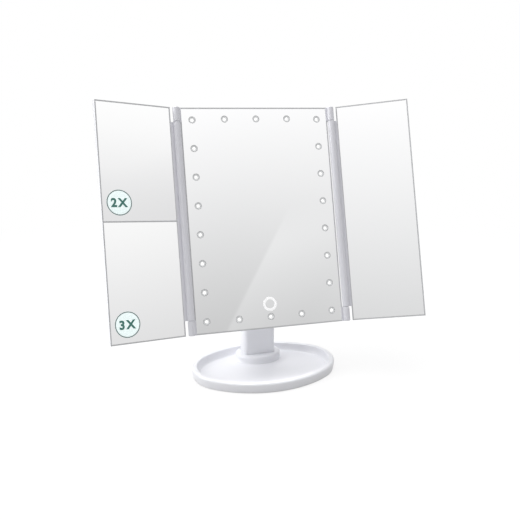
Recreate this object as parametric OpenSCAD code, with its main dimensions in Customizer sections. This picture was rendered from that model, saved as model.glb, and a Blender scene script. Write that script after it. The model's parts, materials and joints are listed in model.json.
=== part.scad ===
// Trifold vanity mirror on an oval tray stand.
// Z is up, X runs to the viewer's right, the mirrors face -Y.
// The origin is on the floor under the middle of the tray.

/* [Head panels] */
// Height of the centre panel and of both wings
panel_h = 240; // [200:1:300]
// Width of the centre panel
centre_w = 164.6; // [150:0.2:200]
// Depth of the centre panel's housing
head_depth = 16; // [15:0.5:20]
// Depth of the front frame, up to the parting line
frame_depth = 6; // [5.5:0.1:7]
// Depth of a wing panel
wing_depth = 7; // [6:0.1:9]
// Thickness of the wing's back cover
wing_cover_t = 1.8; // [1.2:0.1:2.4]
// Width of the frame's rim beside the mirror glass
rim_w = 1.2; // [0.8:0.1:2.5]
// How far the rim stands in front of the glass
rim_lip = 0.3; // [0.1:0.1:1]
// Radius on the rear edges of the housing
rear_edge_r = 3; // [1:0.5:4]
// Radius on the rear edges of the wings
wing_edge_r = 1.6; // [0.5:0.1:2]
// Wall thickness of the plastic housings
wall = 2; // [1.6:0.1:2.6]
// Thickness of the plate that the mirror glass is taped to
shelf_t = 1.6; // [1.2:0.1:2]

/* [Mirrors] */
// Thickness of the mirror glass
glass_t = 2; // [1.5:0.1:2.2]
// Thickness of the double-sided tape
tape_t = 0.4; // [0.2:0.05:0.6]
// Width of one strip of tape
tape_w = 20; // [10:1:26]
// Gap between the glass and the rim around it
glass_gap = 0.1; // [0.05:0.05:0.3]
// Gap between the two magnifying mirrors of the left wing
mirror_split = 0.4; // [0.2:0.1:1.5]

/* [Wing hinges] */
// Distance from the centre panel's side to the hinge axis
axis_out = 4; // [3.8:0.1:6]
// Distance from the hinge axis to the wing's side
axis_to_wing = 6.2; // [5.5:0.1:9]
// How far the hinge axis stands in front of the glass
axis_front = 2; // [1:0.1:4]
// Radius of the hinge barrels
barrel_r = 3.7; // [3:0.1:3.75]
// Length of each housing knuckle, at the top and at the bottom
knuckle_len = 15.5; // [12:0.5:20]
// Axial gap between a knuckle and the wing's barrel
knuckle_gap = 0.3; // [0.2:0.05:0.5]
// Thickness of the webs that carry the barrels
web_t = 3; // [2:0.1:4]
// Diameter of a wing hinge pin
wing_pin_d = 2.5; // [2:0.1:3]
// Length of a wing hinge pin
wing_pin_len = 26; // [24:0.5:32]
// Gap between the two wings when they are folded shut
closed_gap = 2.2; // [1:0.1:6]

/* [Pose in the photograph] */
// Backward lean of the head
head_tilt = 17.4; // [0:0.1:30]
// Height of the panel's lower edge above the floor
panel_lift = 64.8; // [55:0.1:90]
// How far the panel's middle stands behind the tray's middle
head_back = 3.9; // [-5:0.1:10]
// Left wing, turned forward from flat
left_open = 18.2; // [0:0.1:90]
// Right wing, turned forward from flat
right_open = 22.3; // [0:0.1:90]

/* [Lights] */
// Number of lights across the top and the bottom
leds_across = 5; // [3:1:9]
// Number of lights down each side, corners included
leds_down = 8; // [4:1:12]
// Distance from the panel's side to the outer lights
led_side_inset = 12.4; // [11:0.1:16]
// Distance from the panel's top and bottom to the corner lights
led_end_inset = 13.1; // [11:0.1:16]
// How far the middle lights of a row sit further out
led_row_step = 0.75; // [0:0.05:2]
// Diameter of the round window in the glass
window_d = 7.5; // [6:0.1:9]
// Diameter of the light's round head
led_d = 3.6; // [3:0.1:5]
// Clearance around a window, in the glass
window_gap = 0.05; // [0.03:0.01:0.2]
// Clearance of the light head in its window
led_gap = 0.1; // [0.05:0.05:0.2]
// Width of the light boards
led_board_w = 8; // [6:0.5:9]
// Thickness of the light boards
led_board_t = 1; // [0.8:0.1:1.2]

/* [Touch switch] */
// Outer diameter of the touch ring
touch_d = 15.5; // [12:0.5:20]
// Inner diameter of the touch ring
touch_hole_d = 9.5; // [6:0.5:11]
// Height of the touch ring above the panel's lower edge
touch_up = 26; // [22:0.5:40]
// Depth of the ring's inlay in the glass
touch_t = 0.5; // [0.3:0.1:0.8]
// Width of the control board
control_w = 46; // [40:1:56]
// Height of the control board
control_h = 32; // [28:1:36]
// Thickness of the control board
control_t = 1.6; // [1:0.1:2]
// Gap between the glass's tape plane and the control board
control_stand = 3; // [2.5:0.1:3.5]
// Distance from the panel's middle to the power inlet's middle
inlet_x = 12; // [-14:1:14]

/* [Batteries] */
// Diameter of a battery cell
cell_d = 10.5; // [10:0.1:11]
// Length of a battery cell
cell_len = 44.5; // [40:0.5:50]
// Number of cells
cells = 4; // [2:1:4]
// Distance between neighbouring cells' axes
cell_pitch = 11; // [10.8:0.1:12]
// Room for a contact at each end of a cell
contact_room = 3.5; // [3:0.1:5]
// Thickness of the battery box walls
box_wall = 2; // [1.6:0.1:2.4]
// Height of the battery box's lower end above the panel's middle
box_up = 0; // [-6:1:20]
// Thickness of the battery door
door_t = 1.8; // [1.4:0.1:2.4]
// Running gap around the battery door's rails
door_gap = 0.25; // [0.15:0.05:0.4]

/* [Tilt hinge] */
// Height of the tilt axis above the panel's lower edge
pivot_up = 76; // [60:1:110]
// Distance from the housing's back to the tilt axis
pivot_arm = 16.5; // [16:0.1:18]
// Diameter of the tilt pin
tilt_pin_d = 6; // [4:0.1:8]
// Radius of the bracket's knuckle
knuckle_r = 9; // [7:0.5:10]
// Width of the bracket's knuckle
tilt_knuckle_w = 16; // [12:0.5:20]
// Thickness of a friction washer
washer_t = 0.6; // [0.4:0.1:1]
// Gap beside each friction washer
washer_gap = 0.1; // [0.05:0.05:0.2]
// Width of the bracket plate
bracket_w = 40; // [34:1:50]
// Height of the bracket plate
bracket_h = 36; // [32:1:44]
// Thickness of the bracket plate
bracket_t = 3; // [2.4:0.1:4]
// Radial clearance of a running fit
running_fit = 0.05; // [0.02:0.01:0.09]

/* [Neck] */
// Width of the neck
neck_w = 38; // [34:0.5:46]
// Depth of the neck
neck_d = 24; // [22:0.5:28]
// Distance from the tray's middle back to the neck's middle
neck_back = 32; // [28:0.5:34]
// Radius of the neck's upright corners
neck_corner_r = 5.5; // [3:0.5:5.5]
// Height where the neck starts to bend forward
bend_z = 62; // [50:1:75]
// Radius of the neck's bend
bend_r = 60; // [40:1:90]
// Wall thickness of the neck shells
neck_wall = 2.2; // [1.8:0.1:3]
// Length below the tilt axis where the neck is one piece all round
head_block = 18; // [16:0.5:24]

/* [Base] */
// Width of the tray over its rim
tray_w = 166.6; // [150:0.2:200]
// Depth of the tray over its rim
tray_d = 111.8; // [104:0.2:130]
// How far the tray's middle is behind the middle of the open mirror, where the origin is
tray_back = 3.7; // [0:0.1:10]
// Height of the rim above the floor
rim_z = 12.3; // [11:0.1:18]
// Height of the tray's floor above the ground
tray_floor_z = 3.7; // [3.4:0.1:5]
// Width of the rim's top band
rim_band = 6.5; // [5:0.1:8]
// Radius on the rim's outer edge
rim_edge_r = 2.6; // [1:0.1:3]
// How much narrower the tray is at its bottom edge, on each side
tray_draft = 1; // [0:0.1:2]
// Wall thickness of the tray
tray_wall = 1.2; // [1.2:0.1:2]
// Width of the collar around the neck
collar_w = 54; // [50:0.5:60]
// Depth of the collar around the neck
collar_d = 40; // [36:0.5:42]
// Thickness of the bottom cover
bottom_t = 1.2; // [1:0.1:1.6]
// Gap between the floor and the bottom cover
foot_gap = 0.5; // [0.3:0.1:1.5]
// Thickness of the steel ballast plate
ballast_t = 0.8; // [0.5:0.05:0.8]
// Diameter of a rubber foot
foot_d = 10; // [8:0.5:14]

/* [Screws] */
// Shank diameter of the small screws
screw_d = 2.2; // [2:0.1:2.4]
// Head diameter of the small screws
screw_head_d = 4.4; // [3.8:0.1:4.8]
// Clearance of a screw in its hole
screw_gap = 0.05; // [0.03:0.01:0.15]

/* [Labels] */
// Diameter of a round magnification label
label_d = 25.3; // [20:0.1:30]
// Thickness of a label
label_t = 0.15; // [0.1:0.05:0.3]
// Distance from the wing's outer side to the label's middle
label_side = 18.2; // [14:0.1:30]
// Height of the label's middle above its mirror's lower edge
label_up = 19; // [14:0.1:40]

/* [Hidden] */
$fn = 64;
cut = 1; // overshoot of a cutting tool

shell_white = "#f4f4f7";
mirror_grey = "#c9cdd1";
steel = "#b4b7ba";
circuit_green = "#2f6b46";

// Each wing closes to the middle of the centre panel.
wing_w = centre_w / 2 + axis_out - axis_to_wing - closed_gap / 2;
head_z = panel_lift + panel_h / 2 * cos(head_tilt);

glass_w = centre_w - 2 * rim_w;
glass_h = panel_h - 2 * rim_w;
wing_glass_w = wing_w - 2 * rim_w;
shelf_y = glass_t + tape_t;
shelf_back = shelf_y + shelf_t;
housing_floor = head_depth - wall;
wing_floor = wing_depth - wing_cover_t;

web_front = 0.6; // how far a hinge web stands in front of the glass
knuckle_cap = 2.5; // closed end of a knuckle
pin_end_gap = 0.5; // room beyond a hinge pin's end, inside the wing's barrel

screw_head_h = 1.2; // head height of the small screws
head_gap = 0.1; // clearance round a sunk screw head
screw_end_gap = 0.7; // room beyond a screw's tip
bite = 0.2; // how far a boss reaches into the wall that carries it

led_x = centre_w / 2 - led_side_inset;
led_z = panel_h / 2 - led_end_inset;
led_places = concat(
    [for (i = [0 : leds_across - 1], s = [-1, 1])
        let (corner = (i == 0 || i == leds_across - 1))
        [led_x * (2 * i / (leds_across - 1) - 1), s * (led_z + (corner ? 0 : led_row_step))]],
    [for (i = [1 : leds_down - 2], s = [-1, 1]) [s * led_x, led_z * (2 * i / (leds_down - 1) - 1)]]
);

touch_z = touch_up - panel_h / 2;
control_y = shelf_back + control_stand;
control_rise = 1.5; // gap between the housing's lower wall and the control board
board_hole_inset = 4; // distance from the control board's edges to its screws
board_mid_hole = 1.5; // height of the lower two of them above the board's middle
control_z = wall + control_rise + control_h / 2 - panel_h / 2;
board_post_x = control_w / 2 - board_hole_inset;
board_post_z = [control_z + control_h / 2 - board_hole_inset, control_z + board_mid_hole];
board_post_d = 4.4;

wire_d = 1.2;
wire_gap = 0.1; // between a wire and the board that it runs along
lead_side = 0.2; // how far the battery leads keep from the middle between two contacts
lead_x = cell_pitch - lead_side;
lead_y = control_y + control_t + wire_d / 2 + wire_gap;

cell_r = cell_d / 2;
box_stand = 2.6; // gap between the glass's shelf and the battery box
cell_seat_gap = 0.15; // between a cell and the box's floor
cell_door_gap = 0.4; // between a cell and the level of the box's rim
cell_side_gap = 0.5; // between an outer cell and the box's side wall
box_floor_y = shelf_back + box_stand;
cell_y = box_floor_y + box_wall + cell_r + cell_seat_gap;
box_back_y = cell_y + cell_r + cell_door_gap;
box_in_w = (cells - 1) * cell_pitch + cell_d + 2 * cell_side_gap;
box_in_h = cell_len + 2 * contact_room;
box_z0 = box_up;
box_z1 = box_z0 + box_in_h + 2 * box_wall;
cell_z0 = box_z0 + box_wall + contact_room;
cell_x = [for (i = [0 : cells - 1]) (i - (cells - 1) / 2) * cell_pitch];
box_out_w = box_in_w + 2 * box_wall;
door_wing = 2; // width of a door rail, and how far the door overhangs the box's lower end
door_seat = 0.1; // gap between the door and the box's rim
groove_depth = 1;
groove_w = 1.4;
groove_out = 0.7; // how far the grooves stand behind the housing's back
groove_y0 = head_depth + groove_out;
groove_y1 = groove_y0 + groove_w;

post_inset = 7; // distance from the light boards to the screw posts
post_x = led_x - led_board_w / 2 - post_inset;
post_z = led_z - led_board_w / 2 - post_inset;
posts = [for (x = [-1, 1], z = [-1, 0, 1]) [x * post_x, z * post_z]];
post_rise = 3; // how far the posts reach beyond the parting line
post_d = 6.4;
sleeve_d = 8; // tube in the rear housing that meets a post
seat_depth = 2.2; // how far the housing screws' seats lie inside the housing's floor
post_top = frame_depth + post_rise;
screw_seat = housing_floor - seat_depth;
housing_screw_head_h = 1.4;

pivot_z = pivot_up - panel_h / 2;
pivot_y = head_depth + pivot_arm;
bracket_hole_inset = 5; // distance from the bracket plate's edges to its screws
bracket_screw_x = bracket_w / 2 - bracket_hole_inset;
bracket_screw_z = bracket_h / 2 - bracket_hole_inset;
bracket_sink = 1.4; // depth of the counterbores in the bracket plate
bracket_screw_len = 8;
bracket_boss_len = 5;
arm_flare = 2; // how much wider than the knuckle the arm is at its plate, above and below
arm_root = knuckle_r + arm_flare;
slot_room = 4; // free room below the bracket's knuckle in the neck's slot
slot_deep = knuckle_r + slot_room;
slot_w = tilt_knuckle_w + 2 * washer_t + 4 * washer_gap;
cap_t = 1.5;
cap_edge = 2; // how far a cap covers the neck round the tilt pin
cap_gap = 0.1; // clearance round a cap
cap_d = tilt_pin_d + 2 * cap_edge;

// The tilt axis in the stand's frame, from the head's place and lean.
pin_y = head_back + pivot_y * cos(head_tilt) + pivot_z * sin(head_tilt);
pin_z = head_z - pivot_y * sin(head_tilt) + pivot_z * cos(head_tilt);

// The neck rises straight, bends forward on an arc and runs tangent to it up to the tilt axis.
bend_y = neck_back - bend_r;
pin_reach = norm([pin_y - bend_y, pin_z - bend_z]);
neck_lean = atan2(pin_z - bend_z, pin_y - bend_y) - acos(bend_r / pin_reach);
neck_upper = sqrt(pin_reach * pin_reach - bend_r * bend_r);
neck_step = 0.1; // how much slimmer the upper neck is, all round
neck_lap = 2; // how far the upper neck reaches down into the bend

cover_z = foot_gap;
ballast_z = cover_z + bottom_t;
tray_under_z = ballast_z + ballast_t;
socket_gap = 0.1;
socket_floor = 2.2; // thickness of the tray under the neck's foot
socket_z = tray_under_z + socket_floor;
collar_forward = 3; // how far the collar's middle stands in front of the neck's
collar_y = neck_back - collar_forward;
foot_sink = 0.7; // how deep a rubber foot sits in the bottom cover
foot_t = foot_gap + foot_sink;

// ---- outlines -------------------------------------------------------------

// An oval of four arcs, from its half sizes a and b. The arcs meet where the outline's normal
// points 3 across and 4 up, which sets the radii of its ends and of its long sides.
function end_r(a, b) = a - 1.5 * (a - b);
function end_x(a, b) = 1.5 * (a - b);
function side_r(a, b) = 2 * a - b;
function side_y(a, b) = 2 * (a - b);

// The part of the plane that an end arc fills, and the part that a long side's arc fills.
module end_sector(a, b) {
    x = end_x(a, b);
    polygon([[x, 0], [x + 0.6 * a, 0.8 * a], [x + 2 * a, 0.8 * a], [x + 2 * a, -0.8 * a],
        [x + 0.6 * a, -0.8 * a]]);
}

module side_sector(a, b) {
    x = end_x(a, b);
    polygon([[-x, 0], [x, 0], [x + 0.6 * a, 0.8 * a], [-x - 0.6 * a, 0.8 * a]]);
}

// The oval's area, moved inwards by inset.
module oval(width, depth, inset = 0) {
    a = width / 2;
    b = depth / 2;
    for (s = [0, 180]) rotate(s) {
        intersection() {
            translate([end_x(a, b), 0]) circle(end_r(a, b) - inset, $fn = 96);
            end_sector(a, b);
        }
        intersection() {
            translate([0, -side_y(a, b)]) circle(side_r(a, b) - inset, $fn = 180);
            side_sector(a, b);
        }
    }
}

// Sweeps a wall profile along the oval. The profile's x is measured outwards from the oval.
module oval_wall(width, depth) {
    a = width / 2;
    b = depth / 2;
    for (s = [0, 180]) rotate([0, 0, s]) {
        intersection() {
            translate([end_x(a, b), 0, 0]) rotate_extrude($fn = 120)
                translate([end_r(a, b), 0]) children();
            linear_extrude(2 * rim_z) end_sector(a, b);
        }
        intersection() {
            translate([0, -side_y(a, b), 0]) rotate_extrude($fn = 240)
                translate([side_r(a, b), 0]) children();
            linear_extrude(2 * rim_z) side_sector(a, b);
        }
    }
}

// A rectangle with round corners.
module round_rect(width, height, r) {
    square([width - 2 * r, height], center = true);
    square([width, height - 2 * r], center = true);
    for (x = [-1, 1], y = [-1, 1]) translate([x * (width / 2 - r), y * (height / 2 - r)]) circle(r);
}

// A panel's cross-section: square in front, round at the rear edges.
module panel_profile(width, y0, y1, r) {
    intersection() {
        union() {
            translate([-width / 2, y0]) square([width, y1 - y0 - r]);
            translate([r - width / 2, y0]) square([width - 2 * r, y1 - y0]);
            for (s = [-1, 1]) translate([s * (width / 2 - r), y1 - r]) circle(r);
        }
        translate([-width / 2, y0]) square([width, y1 - y0]);
    }
}

// A flat panel body whose four rear edges are rounded.
module panel_body(width, height, y0, y1, r) {
    intersection() {
        translate([0, 0, -height / 2]) linear_extrude(height) panel_profile(width, y0, y1, r);
        translate([width / 2, 0, 0]) rotate([0, -90, 0]) linear_extrude(width)
            panel_profile(height, y0, y1, r);
    }
}

// A block from its lowest corner along x and y and its middle along z.
module slab(width, y0, y1, height) {
    translate([-width / 2, y0, -height / 2]) cube([width, y1 - y0, height]);
}

// A cylinder that runs from y0 to y1, parallel to Y.
module rod_y(d, y0, y1, x = 0, z = 0) {
    translate([x, y0, z]) rotate([-90, 0, 0]) cylinder(h = y1 - y0, d = d);
}

// A cylinder centred on x = 0, parallel to X.
module rod_x(d, length) {
    rotate([0, 90, 0]) cylinder(h = length, d = d, center = true);
}

// A pan-head screw with its head at the origin, its shank along -Z.
module screw(d, head_d, head_h, length) {
    cylinder(h = head_h, d = head_d);
    translate([0, 0, -length]) cylinder(h = length + head_h / 2, d = d);
}

// A screw whose shank points towards -Y.
module screw_y(x, y, z, d, head_d, head_h, length) {
    translate([x, y, z]) rotate([-90, 0, 0]) screw(d, head_d, head_h, length);
}

// ---- frames of reference --------------------------------------------------

// The whole mirror, drawn about the middle of the tray, in its place over the origin.
module placed() {
    translate([0, tray_back, 0]) children();
}

// The head's frame: X along the panel, Y back from the glass, Z up the panel.
module in_head() {
    translate([0, head_back, head_z]) rotate([-head_tilt, 0, 0]) children();
}

// A wing's frame: the hinge axis at the origin, the panel towards +X before mirroring.
module in_left_wing() {
    in_head() translate([-centre_w / 2 - axis_out, -axis_front, 0]) rotate([0, 0, left_open])
        mirror([1, 0, 0]) children();
}

module in_right_wing() {
    in_head() translate([centre_w / 2 + axis_out, -axis_front, 0]) rotate([0, 0, -right_open]) children();
}

// The tilt axis at the origin, in the stand's frame.
module at_pin() {
    translate([0, pin_y, pin_z]) children();
}

// ---- base -----------------------------------------------------------------

wall_slope = 4; // how far the wall's inner face leans in on its way down
rim_inner_r = 1.4; // radius on the rim's inner edge
rib_room = 0.4; // how far the hollow under the rim stays from the centres of the rim's edges
floor_lap = 0.1; // how far the tray's floor reaches into the wall around it

// The tray's hollow wall: outer skin, rounded rim and an inner skin that sweeps into the floor.
module tray_wall_profile() {
    t = tray_wall;
    edge = rim_edge_r;
    foot_x = -rim_band - wall_slope;
    dish = rim_z - rim_inner_r - tray_floor_z;
    // steep at the rim and level at its foot
    sweep = [for (i = [0 : 6]) let (s = i / 6)
        [-rim_band - wall_slope * s, tray_floor_z + dish * pow(1 - s, 2.5)]];
    difference() {
        union() {
            polygon(concat([[foot_x, ballast_z], [-tray_draft, ballast_z], [0, rim_z - edge],
                [-edge, rim_z - rim_inner_r]], sweep));
            translate([rim_inner_r - rim_band, rim_z - rim_inner_r])
                square([rim_band - rim_inner_r - edge, rim_inner_r]);
            translate([-edge, rim_z - edge]) circle(edge);
            translate([rim_inner_r - rim_band, rim_z - rim_inner_r]) circle(rim_inner_r);
        }
        // hollow under the rim, open at the bottom
        polygon(concat([[foot_x - cut, ballast_z - cut], [-tray_draft - t, ballast_z - cut],
            [-t, rim_z - edge], [-edge - rib_room, rim_z - t], [t + rib_room - rim_band, rim_z - t]],
            [for (p = sweep) p + [0.75 * t, -0.75 * t]],
            [[foot_x + 0.75 * t, tray_under_z], [foot_x - cut, tray_under_z]]));
    }
}

collar_edge_r = 2.6;
collar_ring = 7; // width of the collar's swept ring, round its solid middle

// The collar's wall, with a soft upper edge.
module collar_profile() {
    edge = collar_edge_r;
    translate([-collar_ring, tray_under_z]) square([collar_ring, rim_z - edge - tray_under_z]);
    translate([-collar_ring, tray_under_z]) square([collar_ring - edge, rim_z - tray_under_z]);
    translate([-edge, rim_z - edge]) circle(edge);
}

// Screw bosses stand under the rim, halfway round each of the oval's ends.
base_boss_d = 4.4;
base_boss_inset = 2; // from the oval to a boss's side
base_boss_reach = (end_r(tray_w / 2, tray_d / 2) - base_boss_d / 2 - base_boss_inset) * sqrt(0.5);
base_hole_end = 4.5; // from the rim's top to the end of a boss's hole
base_hole_z = rim_z - base_hole_end;
base_screw_head_h = 0.8;
foot_screw_sink = 1.2; // depth of the foot screws' seats in the tray
foot_hole_gap = 0.3; // extra clearance of the foot screws in the tray
base_boss_places = [for (x = [-1, 1], y = [-1, 1])
    [x * (end_x(tray_w / 2, tray_d / 2) + base_boss_reach), y * base_boss_reach]];

module tray() {
    color(shell_white) {
        difference() {
            union() {
                oval_wall(tray_w, tray_d) tray_wall_profile();
                translate([0, 0, tray_under_z]) linear_extrude(tray_floor_z - tray_under_z)
                    oval(tray_w, tray_d, rim_band + wall_slope - floor_lap);
                translate([0, collar_y, 0]) oval_wall(collar_w, collar_d) collar_profile();
                translate([0, collar_y, tray_under_z]) linear_extrude(rim_z - tray_under_z)
                    oval(collar_w, collar_d, collar_ring - floor_lap);
                // screw bosses under the rim
                for (p = base_boss_places) translate([p[0], p[1], ballast_z])
                    cylinder(h = rim_z - tray_wall + floor_lap - ballast_z, d = base_boss_d);
            }
            // socket that holds the neck's foot
            translate([0, neck_back, socket_z]) linear_extrude(rim_z)
                round_rect(neck_w + 2 * socket_gap, neck_d + 2 * socket_gap, neck_corner_r + socket_gap);
            for (p = base_boss_places) translate([p[0], p[1], ballast_z - cut])
                cylinder(h = base_hole_z - ballast_z + cut, d = screw_d + 2 * screw_gap);
            for (p = foot_boss_places) translate([p[0], p[1], 0]) {
                cylinder(h = rim_z, d = screw_d + 2 * (screw_gap + foot_hole_gap));
                translate([0, 0, tray_under_z - cut])
                    cylinder(h = foot_screw_sink + cut, d = screw_head_d + 4 * head_gap);
            }
        }
    }
}

cover_inset = 0.4; // how far the bottom cover stays inside the tray's lower edge
foot_side_gap = 0.05; // clearance round a rubber foot
ballast_gap = 0.6; // from the wall to the ballast plate
ballast_lap = 1; // how far the collar stands over the ballast plate's cut-out

// Bottom cover, screwed on from below and hiding the foot screws.
module bottom_cover() {
    color(shell_white)
    difference() {
        translate([0, 0, cover_z]) linear_extrude(bottom_t) oval(tray_w, tray_d, tray_draft + cover_inset);
        for (p = base_boss_places) translate([p[0], p[1], 0]) {
            cylinder(h = cover_z + bottom_t + cut, d = screw_d + 2 * screw_gap);
            cylinder(h = cover_z + base_screw_head_h, d = screw_head_d + 2 * screw_gap);
        }
        for (p = foot_places) translate([p[0], p[1], cover_z - cut])
            cylinder(h = foot_sink + cut, d = foot_d + 2 * foot_side_gap);
    }
}

// Steel plate that weighs the stand down, cut out round the collar.
module ballast_plate() {
    color(steel)
    difference() {
        translate([0, 0, ballast_z]) linear_extrude(ballast_t)
            oval(tray_w, tray_d, rim_band + wall_slope + ballast_gap);
        translate([0, collar_y, 0]) linear_extrude(rim_z) oval(collar_w, collar_d, ballast_lap);
    }
}

foot_side_inset = 31.65; // from the tray's side to a foot's middle
foot_end_inset = 25.7; // from the tray's front or rear to a foot's middle
foot_places = [for (x = [-1, 1], y = [-1, 1])
    [x * (tray_w / 2 - foot_side_inset), y * (tray_d / 2 - foot_end_inset)]];

module rubber_feet() {
    color("#3a3b3d")
    for (p = foot_places) translate([p[0], p[1], 0]) cylinder(h = foot_t, d = foot_d);
}

module base_screws() {
    color(steel)
    for (p = base_boss_places) translate([p[0], p[1], cover_z + base_screw_head_h]) rotate([180, 0, 0])
        screw(screw_d, screw_head_d, base_screw_head_h,
            base_hole_z - cover_z - base_screw_head_h - screw_end_gap);
}

// ---- neck -----------------------------------------------------------------

// Sweeps one section up the straight foot and round the bend, and a second one up the straight
// upper neck, which ends at `short` below the tilt axis. The section's +Y looks backwards.
module neck_sweep(z0, short) {
    translate([0, neck_back, z0]) linear_extrude(bend_z - z0) children(0);
    translate([0, bend_y, bend_z]) rotate([0, -90, 0]) rotate([0, 0, -90]) bend_arc() children(0);
    at_neck_top() translate([0, 0, -neck_upper - neck_lap])
        linear_extrude(neck_upper + neck_lap - short) children(1);
}

// The bend itself, turned about Z: the section stands in the plane of X and Z.
module bend_arc() {
    rotate([0, 0, 180]) rotate_extrude(angle = -neck_lean, $fn = 240)
        translate([bend_r, 0]) rotate([0, 0, -90]) children();
}

// The tilt axis at the origin, and the upper neck running down along -Z.
module at_neck_top() {
    at_pin() rotate([neck_lean, 0, 0]) children();
}

module neck_section(inset = 0) {
    round_rect(neck_w - 2 * inset, neck_d - 2 * inset, neck_corner_r - inset);
}

// The front or the rear half of the neck's section: side is -1 or 1, and split is half the gap between them.
module neck_half(side, inset = 0, split = 0) {
    half_w = neck_w / 2 - inset;
    half_d = neck_d / 2 - inset;
    r = neck_corner_r - inset;
    rotate(side > 0 ? 0 : 180) {
        translate([-half_w, split]) square([2 * half_w, half_d - r - split]);
        translate([r - half_w, split]) square([2 * (half_w - r), half_d - split]);
        for (x = [-1, 1]) translate([x * (half_w - r), half_d - r]) circle(r);
    }
}

foot_boss_r = 3.7;
foot_boss_bite = 0.4; // how far a foot boss reaches into the neck's wall
foot_boss_inset = 8; // from the neck's side to a foot boss's middle
foot_boss_out = neck_d / 2 - neck_wall - foot_boss_r + foot_boss_bite;
foot_boss_places = [for (x = [-1, 1], y = [-1, 1])
    [x * (neck_w / 2 - foot_boss_inset), neck_back + y * foot_boss_out]];
foot_screw_len = 12;
foot_screw_head_h = 1.1;

neck_screw_drop = 8; // from the bend down to the upper neck screw
neck_screw_rise = 24; // from the neck's foot up to the lower neck screw
neck_screw_places = [bend_z - neck_screw_drop, socket_z + neck_screw_rise];
neck_screw_sink = 1.4; // depth of the neck screws' heads below the neck's rear face
neck_screw_y = neck_back + neck_d / 2 - neck_screw_sink;
neck_screw_len = 16;
neck_boss_d = 6;
neck_boss_reach = 2; // how far the front shell's bosses reach past the parting plane
neck_boss_gap = 0.1; // between the front and the rear shell's bosses

// The upper end of the neck: a round-ended block with two ears and the hole for the tilt pin.
module neck_head() {
    difference() {
        at_neck_top() {
            rotate([90, 0, 90]) rotate_extrude(angle = 180, $fn = 128) rotate(-90) neck_half(1, neck_step);
            translate([0, 0, -head_block]) linear_extrude(head_block) neck_section(neck_step);
        }
        at_pin() {
            rod_x(tilt_pin_d, neck_w + 2 * cut);
            for (s = [-1, 1]) translate([s * (neck_w - cap_t + cut) / 2, 0, 0])
                rod_x(cap_d + 2 * cap_gap, cap_t + cut);
            // slot for the bracket's knuckle
            translate([-slot_w / 2, -neck_d, -slot_deep]) cube([slot_w, 2 * neck_d, slot_deep + neck_d]);
        }
    }
}

shell_gap = 0.3; // between the rear shell's upper end and the head block
hollow_lap = 2; // how far the solid head block reaches down into the hollow neck

module neck_front_shell() {
    color(shell_white) {
        difference() {
            neck_sweep(socket_z, head_block) {
                neck_half(-1);
                neck_half(-1, neck_step, neck_step);
            }
            neck_hollow(head_block + hollow_lap);
        }
        neck_head();
        neck_bosses(-1);
    }
}

module neck_rear_shell() {
    color(shell_white) {
        difference() {
            neck_sweep(socket_z, head_block + shell_gap) {
                neck_half(1);
                neck_half(1, neck_step, neck_step);
            }
            neck_hollow(head_block - cut);
            for (z = neck_screw_places) rear_screw_hole(z);
        }
        neck_bosses(1);
    }
}

// The room inside the neck, up to `short` below the tilt axis. It narrows from the bend on, as the neck does.
module neck_hollow(short) {
    neck_sweep(socket_z - cut, short) {
        neck_section(neck_wall);
        neck_section(neck_wall - neck_step);
    }
}

module rear_screw_hole(z) {
    rod_y(screw_d + 2 * screw_gap, neck_back, neck_back + neck_d, 0, z);
    rod_y(screw_head_d + 2 * head_gap, neck_screw_y, neck_back + neck_d, 0, z);
}

// Bosses inside a neck shell: two that stand on the tray's socket and, on the front shell,
// two that meet the screws from the rear.
module neck_bosses(side) {
    for (p = foot_boss_places) if ((p[1] - neck_back) * side > 0)
        translate([p[0], p[1], socket_z]) difference() {
            cylinder(h = foot_screw_len + 1, r = foot_boss_r);
            translate([0, 0, -cut]) cylinder(h = foot_screw_len - 1 + cut, d = screw_d + 2 * screw_gap);
        }
    if (side < 0) for (z = neck_screw_places) difference() {
        rod_y(neck_boss_d, neck_back - neck_d / 2 + neck_wall / 2, neck_back + neck_boss_reach, 0, z);
        rod_y(screw_d + 2 * screw_gap, neck_screw_y - neck_screw_len - screw_end_gap,
            neck_back + neck_boss_reach + cut, 0, z);
    }
    if (side > 0) for (z = neck_screw_places) difference() {
        rod_y(neck_boss_d, neck_back + neck_boss_reach + neck_boss_gap,
            neck_back + neck_d / 2 - neck_wall / 2, 0, z);
        rear_screw_hole(z);
    }
}

module neck_screws() {
    color(steel)
    for (z = neck_screw_places)
        screw_y(0, neck_screw_y, z, screw_d, screw_head_d, screw_head_h, neck_screw_len);
}

module foot_screws() {
    color(steel)
    for (p = foot_boss_places) translate([p[0], p[1], tray_under_z + foot_screw_sink])
        rotate([180, 0, 0]) screw(screw_d, screw_head_d, foot_screw_head_h, foot_screw_len);
}

// ---- tilt hinge -----------------------------------------------------------

pin_cap_gap = 0.1; // between each end of the tilt pin and its cap
washer_edge = 1; // how far a washer's edge stays inside the knuckle's

module tilt_pin() {
    color(steel) at_pin() rod_x(tilt_pin_d, neck_w - 2 * (cap_t + pin_cap_gap));
}

module pin_caps() {
    color(shell_white) at_pin()
    for (s = [-1, 1]) translate([s * (neck_w - cap_t - neck_step) / 2, 0, 0]) rod_x(cap_d, cap_t - neck_step);
}

module friction_washers() {
    color("#5a5d60") at_pin()
    for (s = [-1, 1]) translate([s * (slot_w / 2 - washer_t / 2 - washer_gap), 0, 0]) difference() {
        rod_x(2 * (knuckle_r - washer_edge), washer_t);
        rod_x(tilt_pin_d + 2 * running_fit, washer_t + cut);
    }
}

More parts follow.
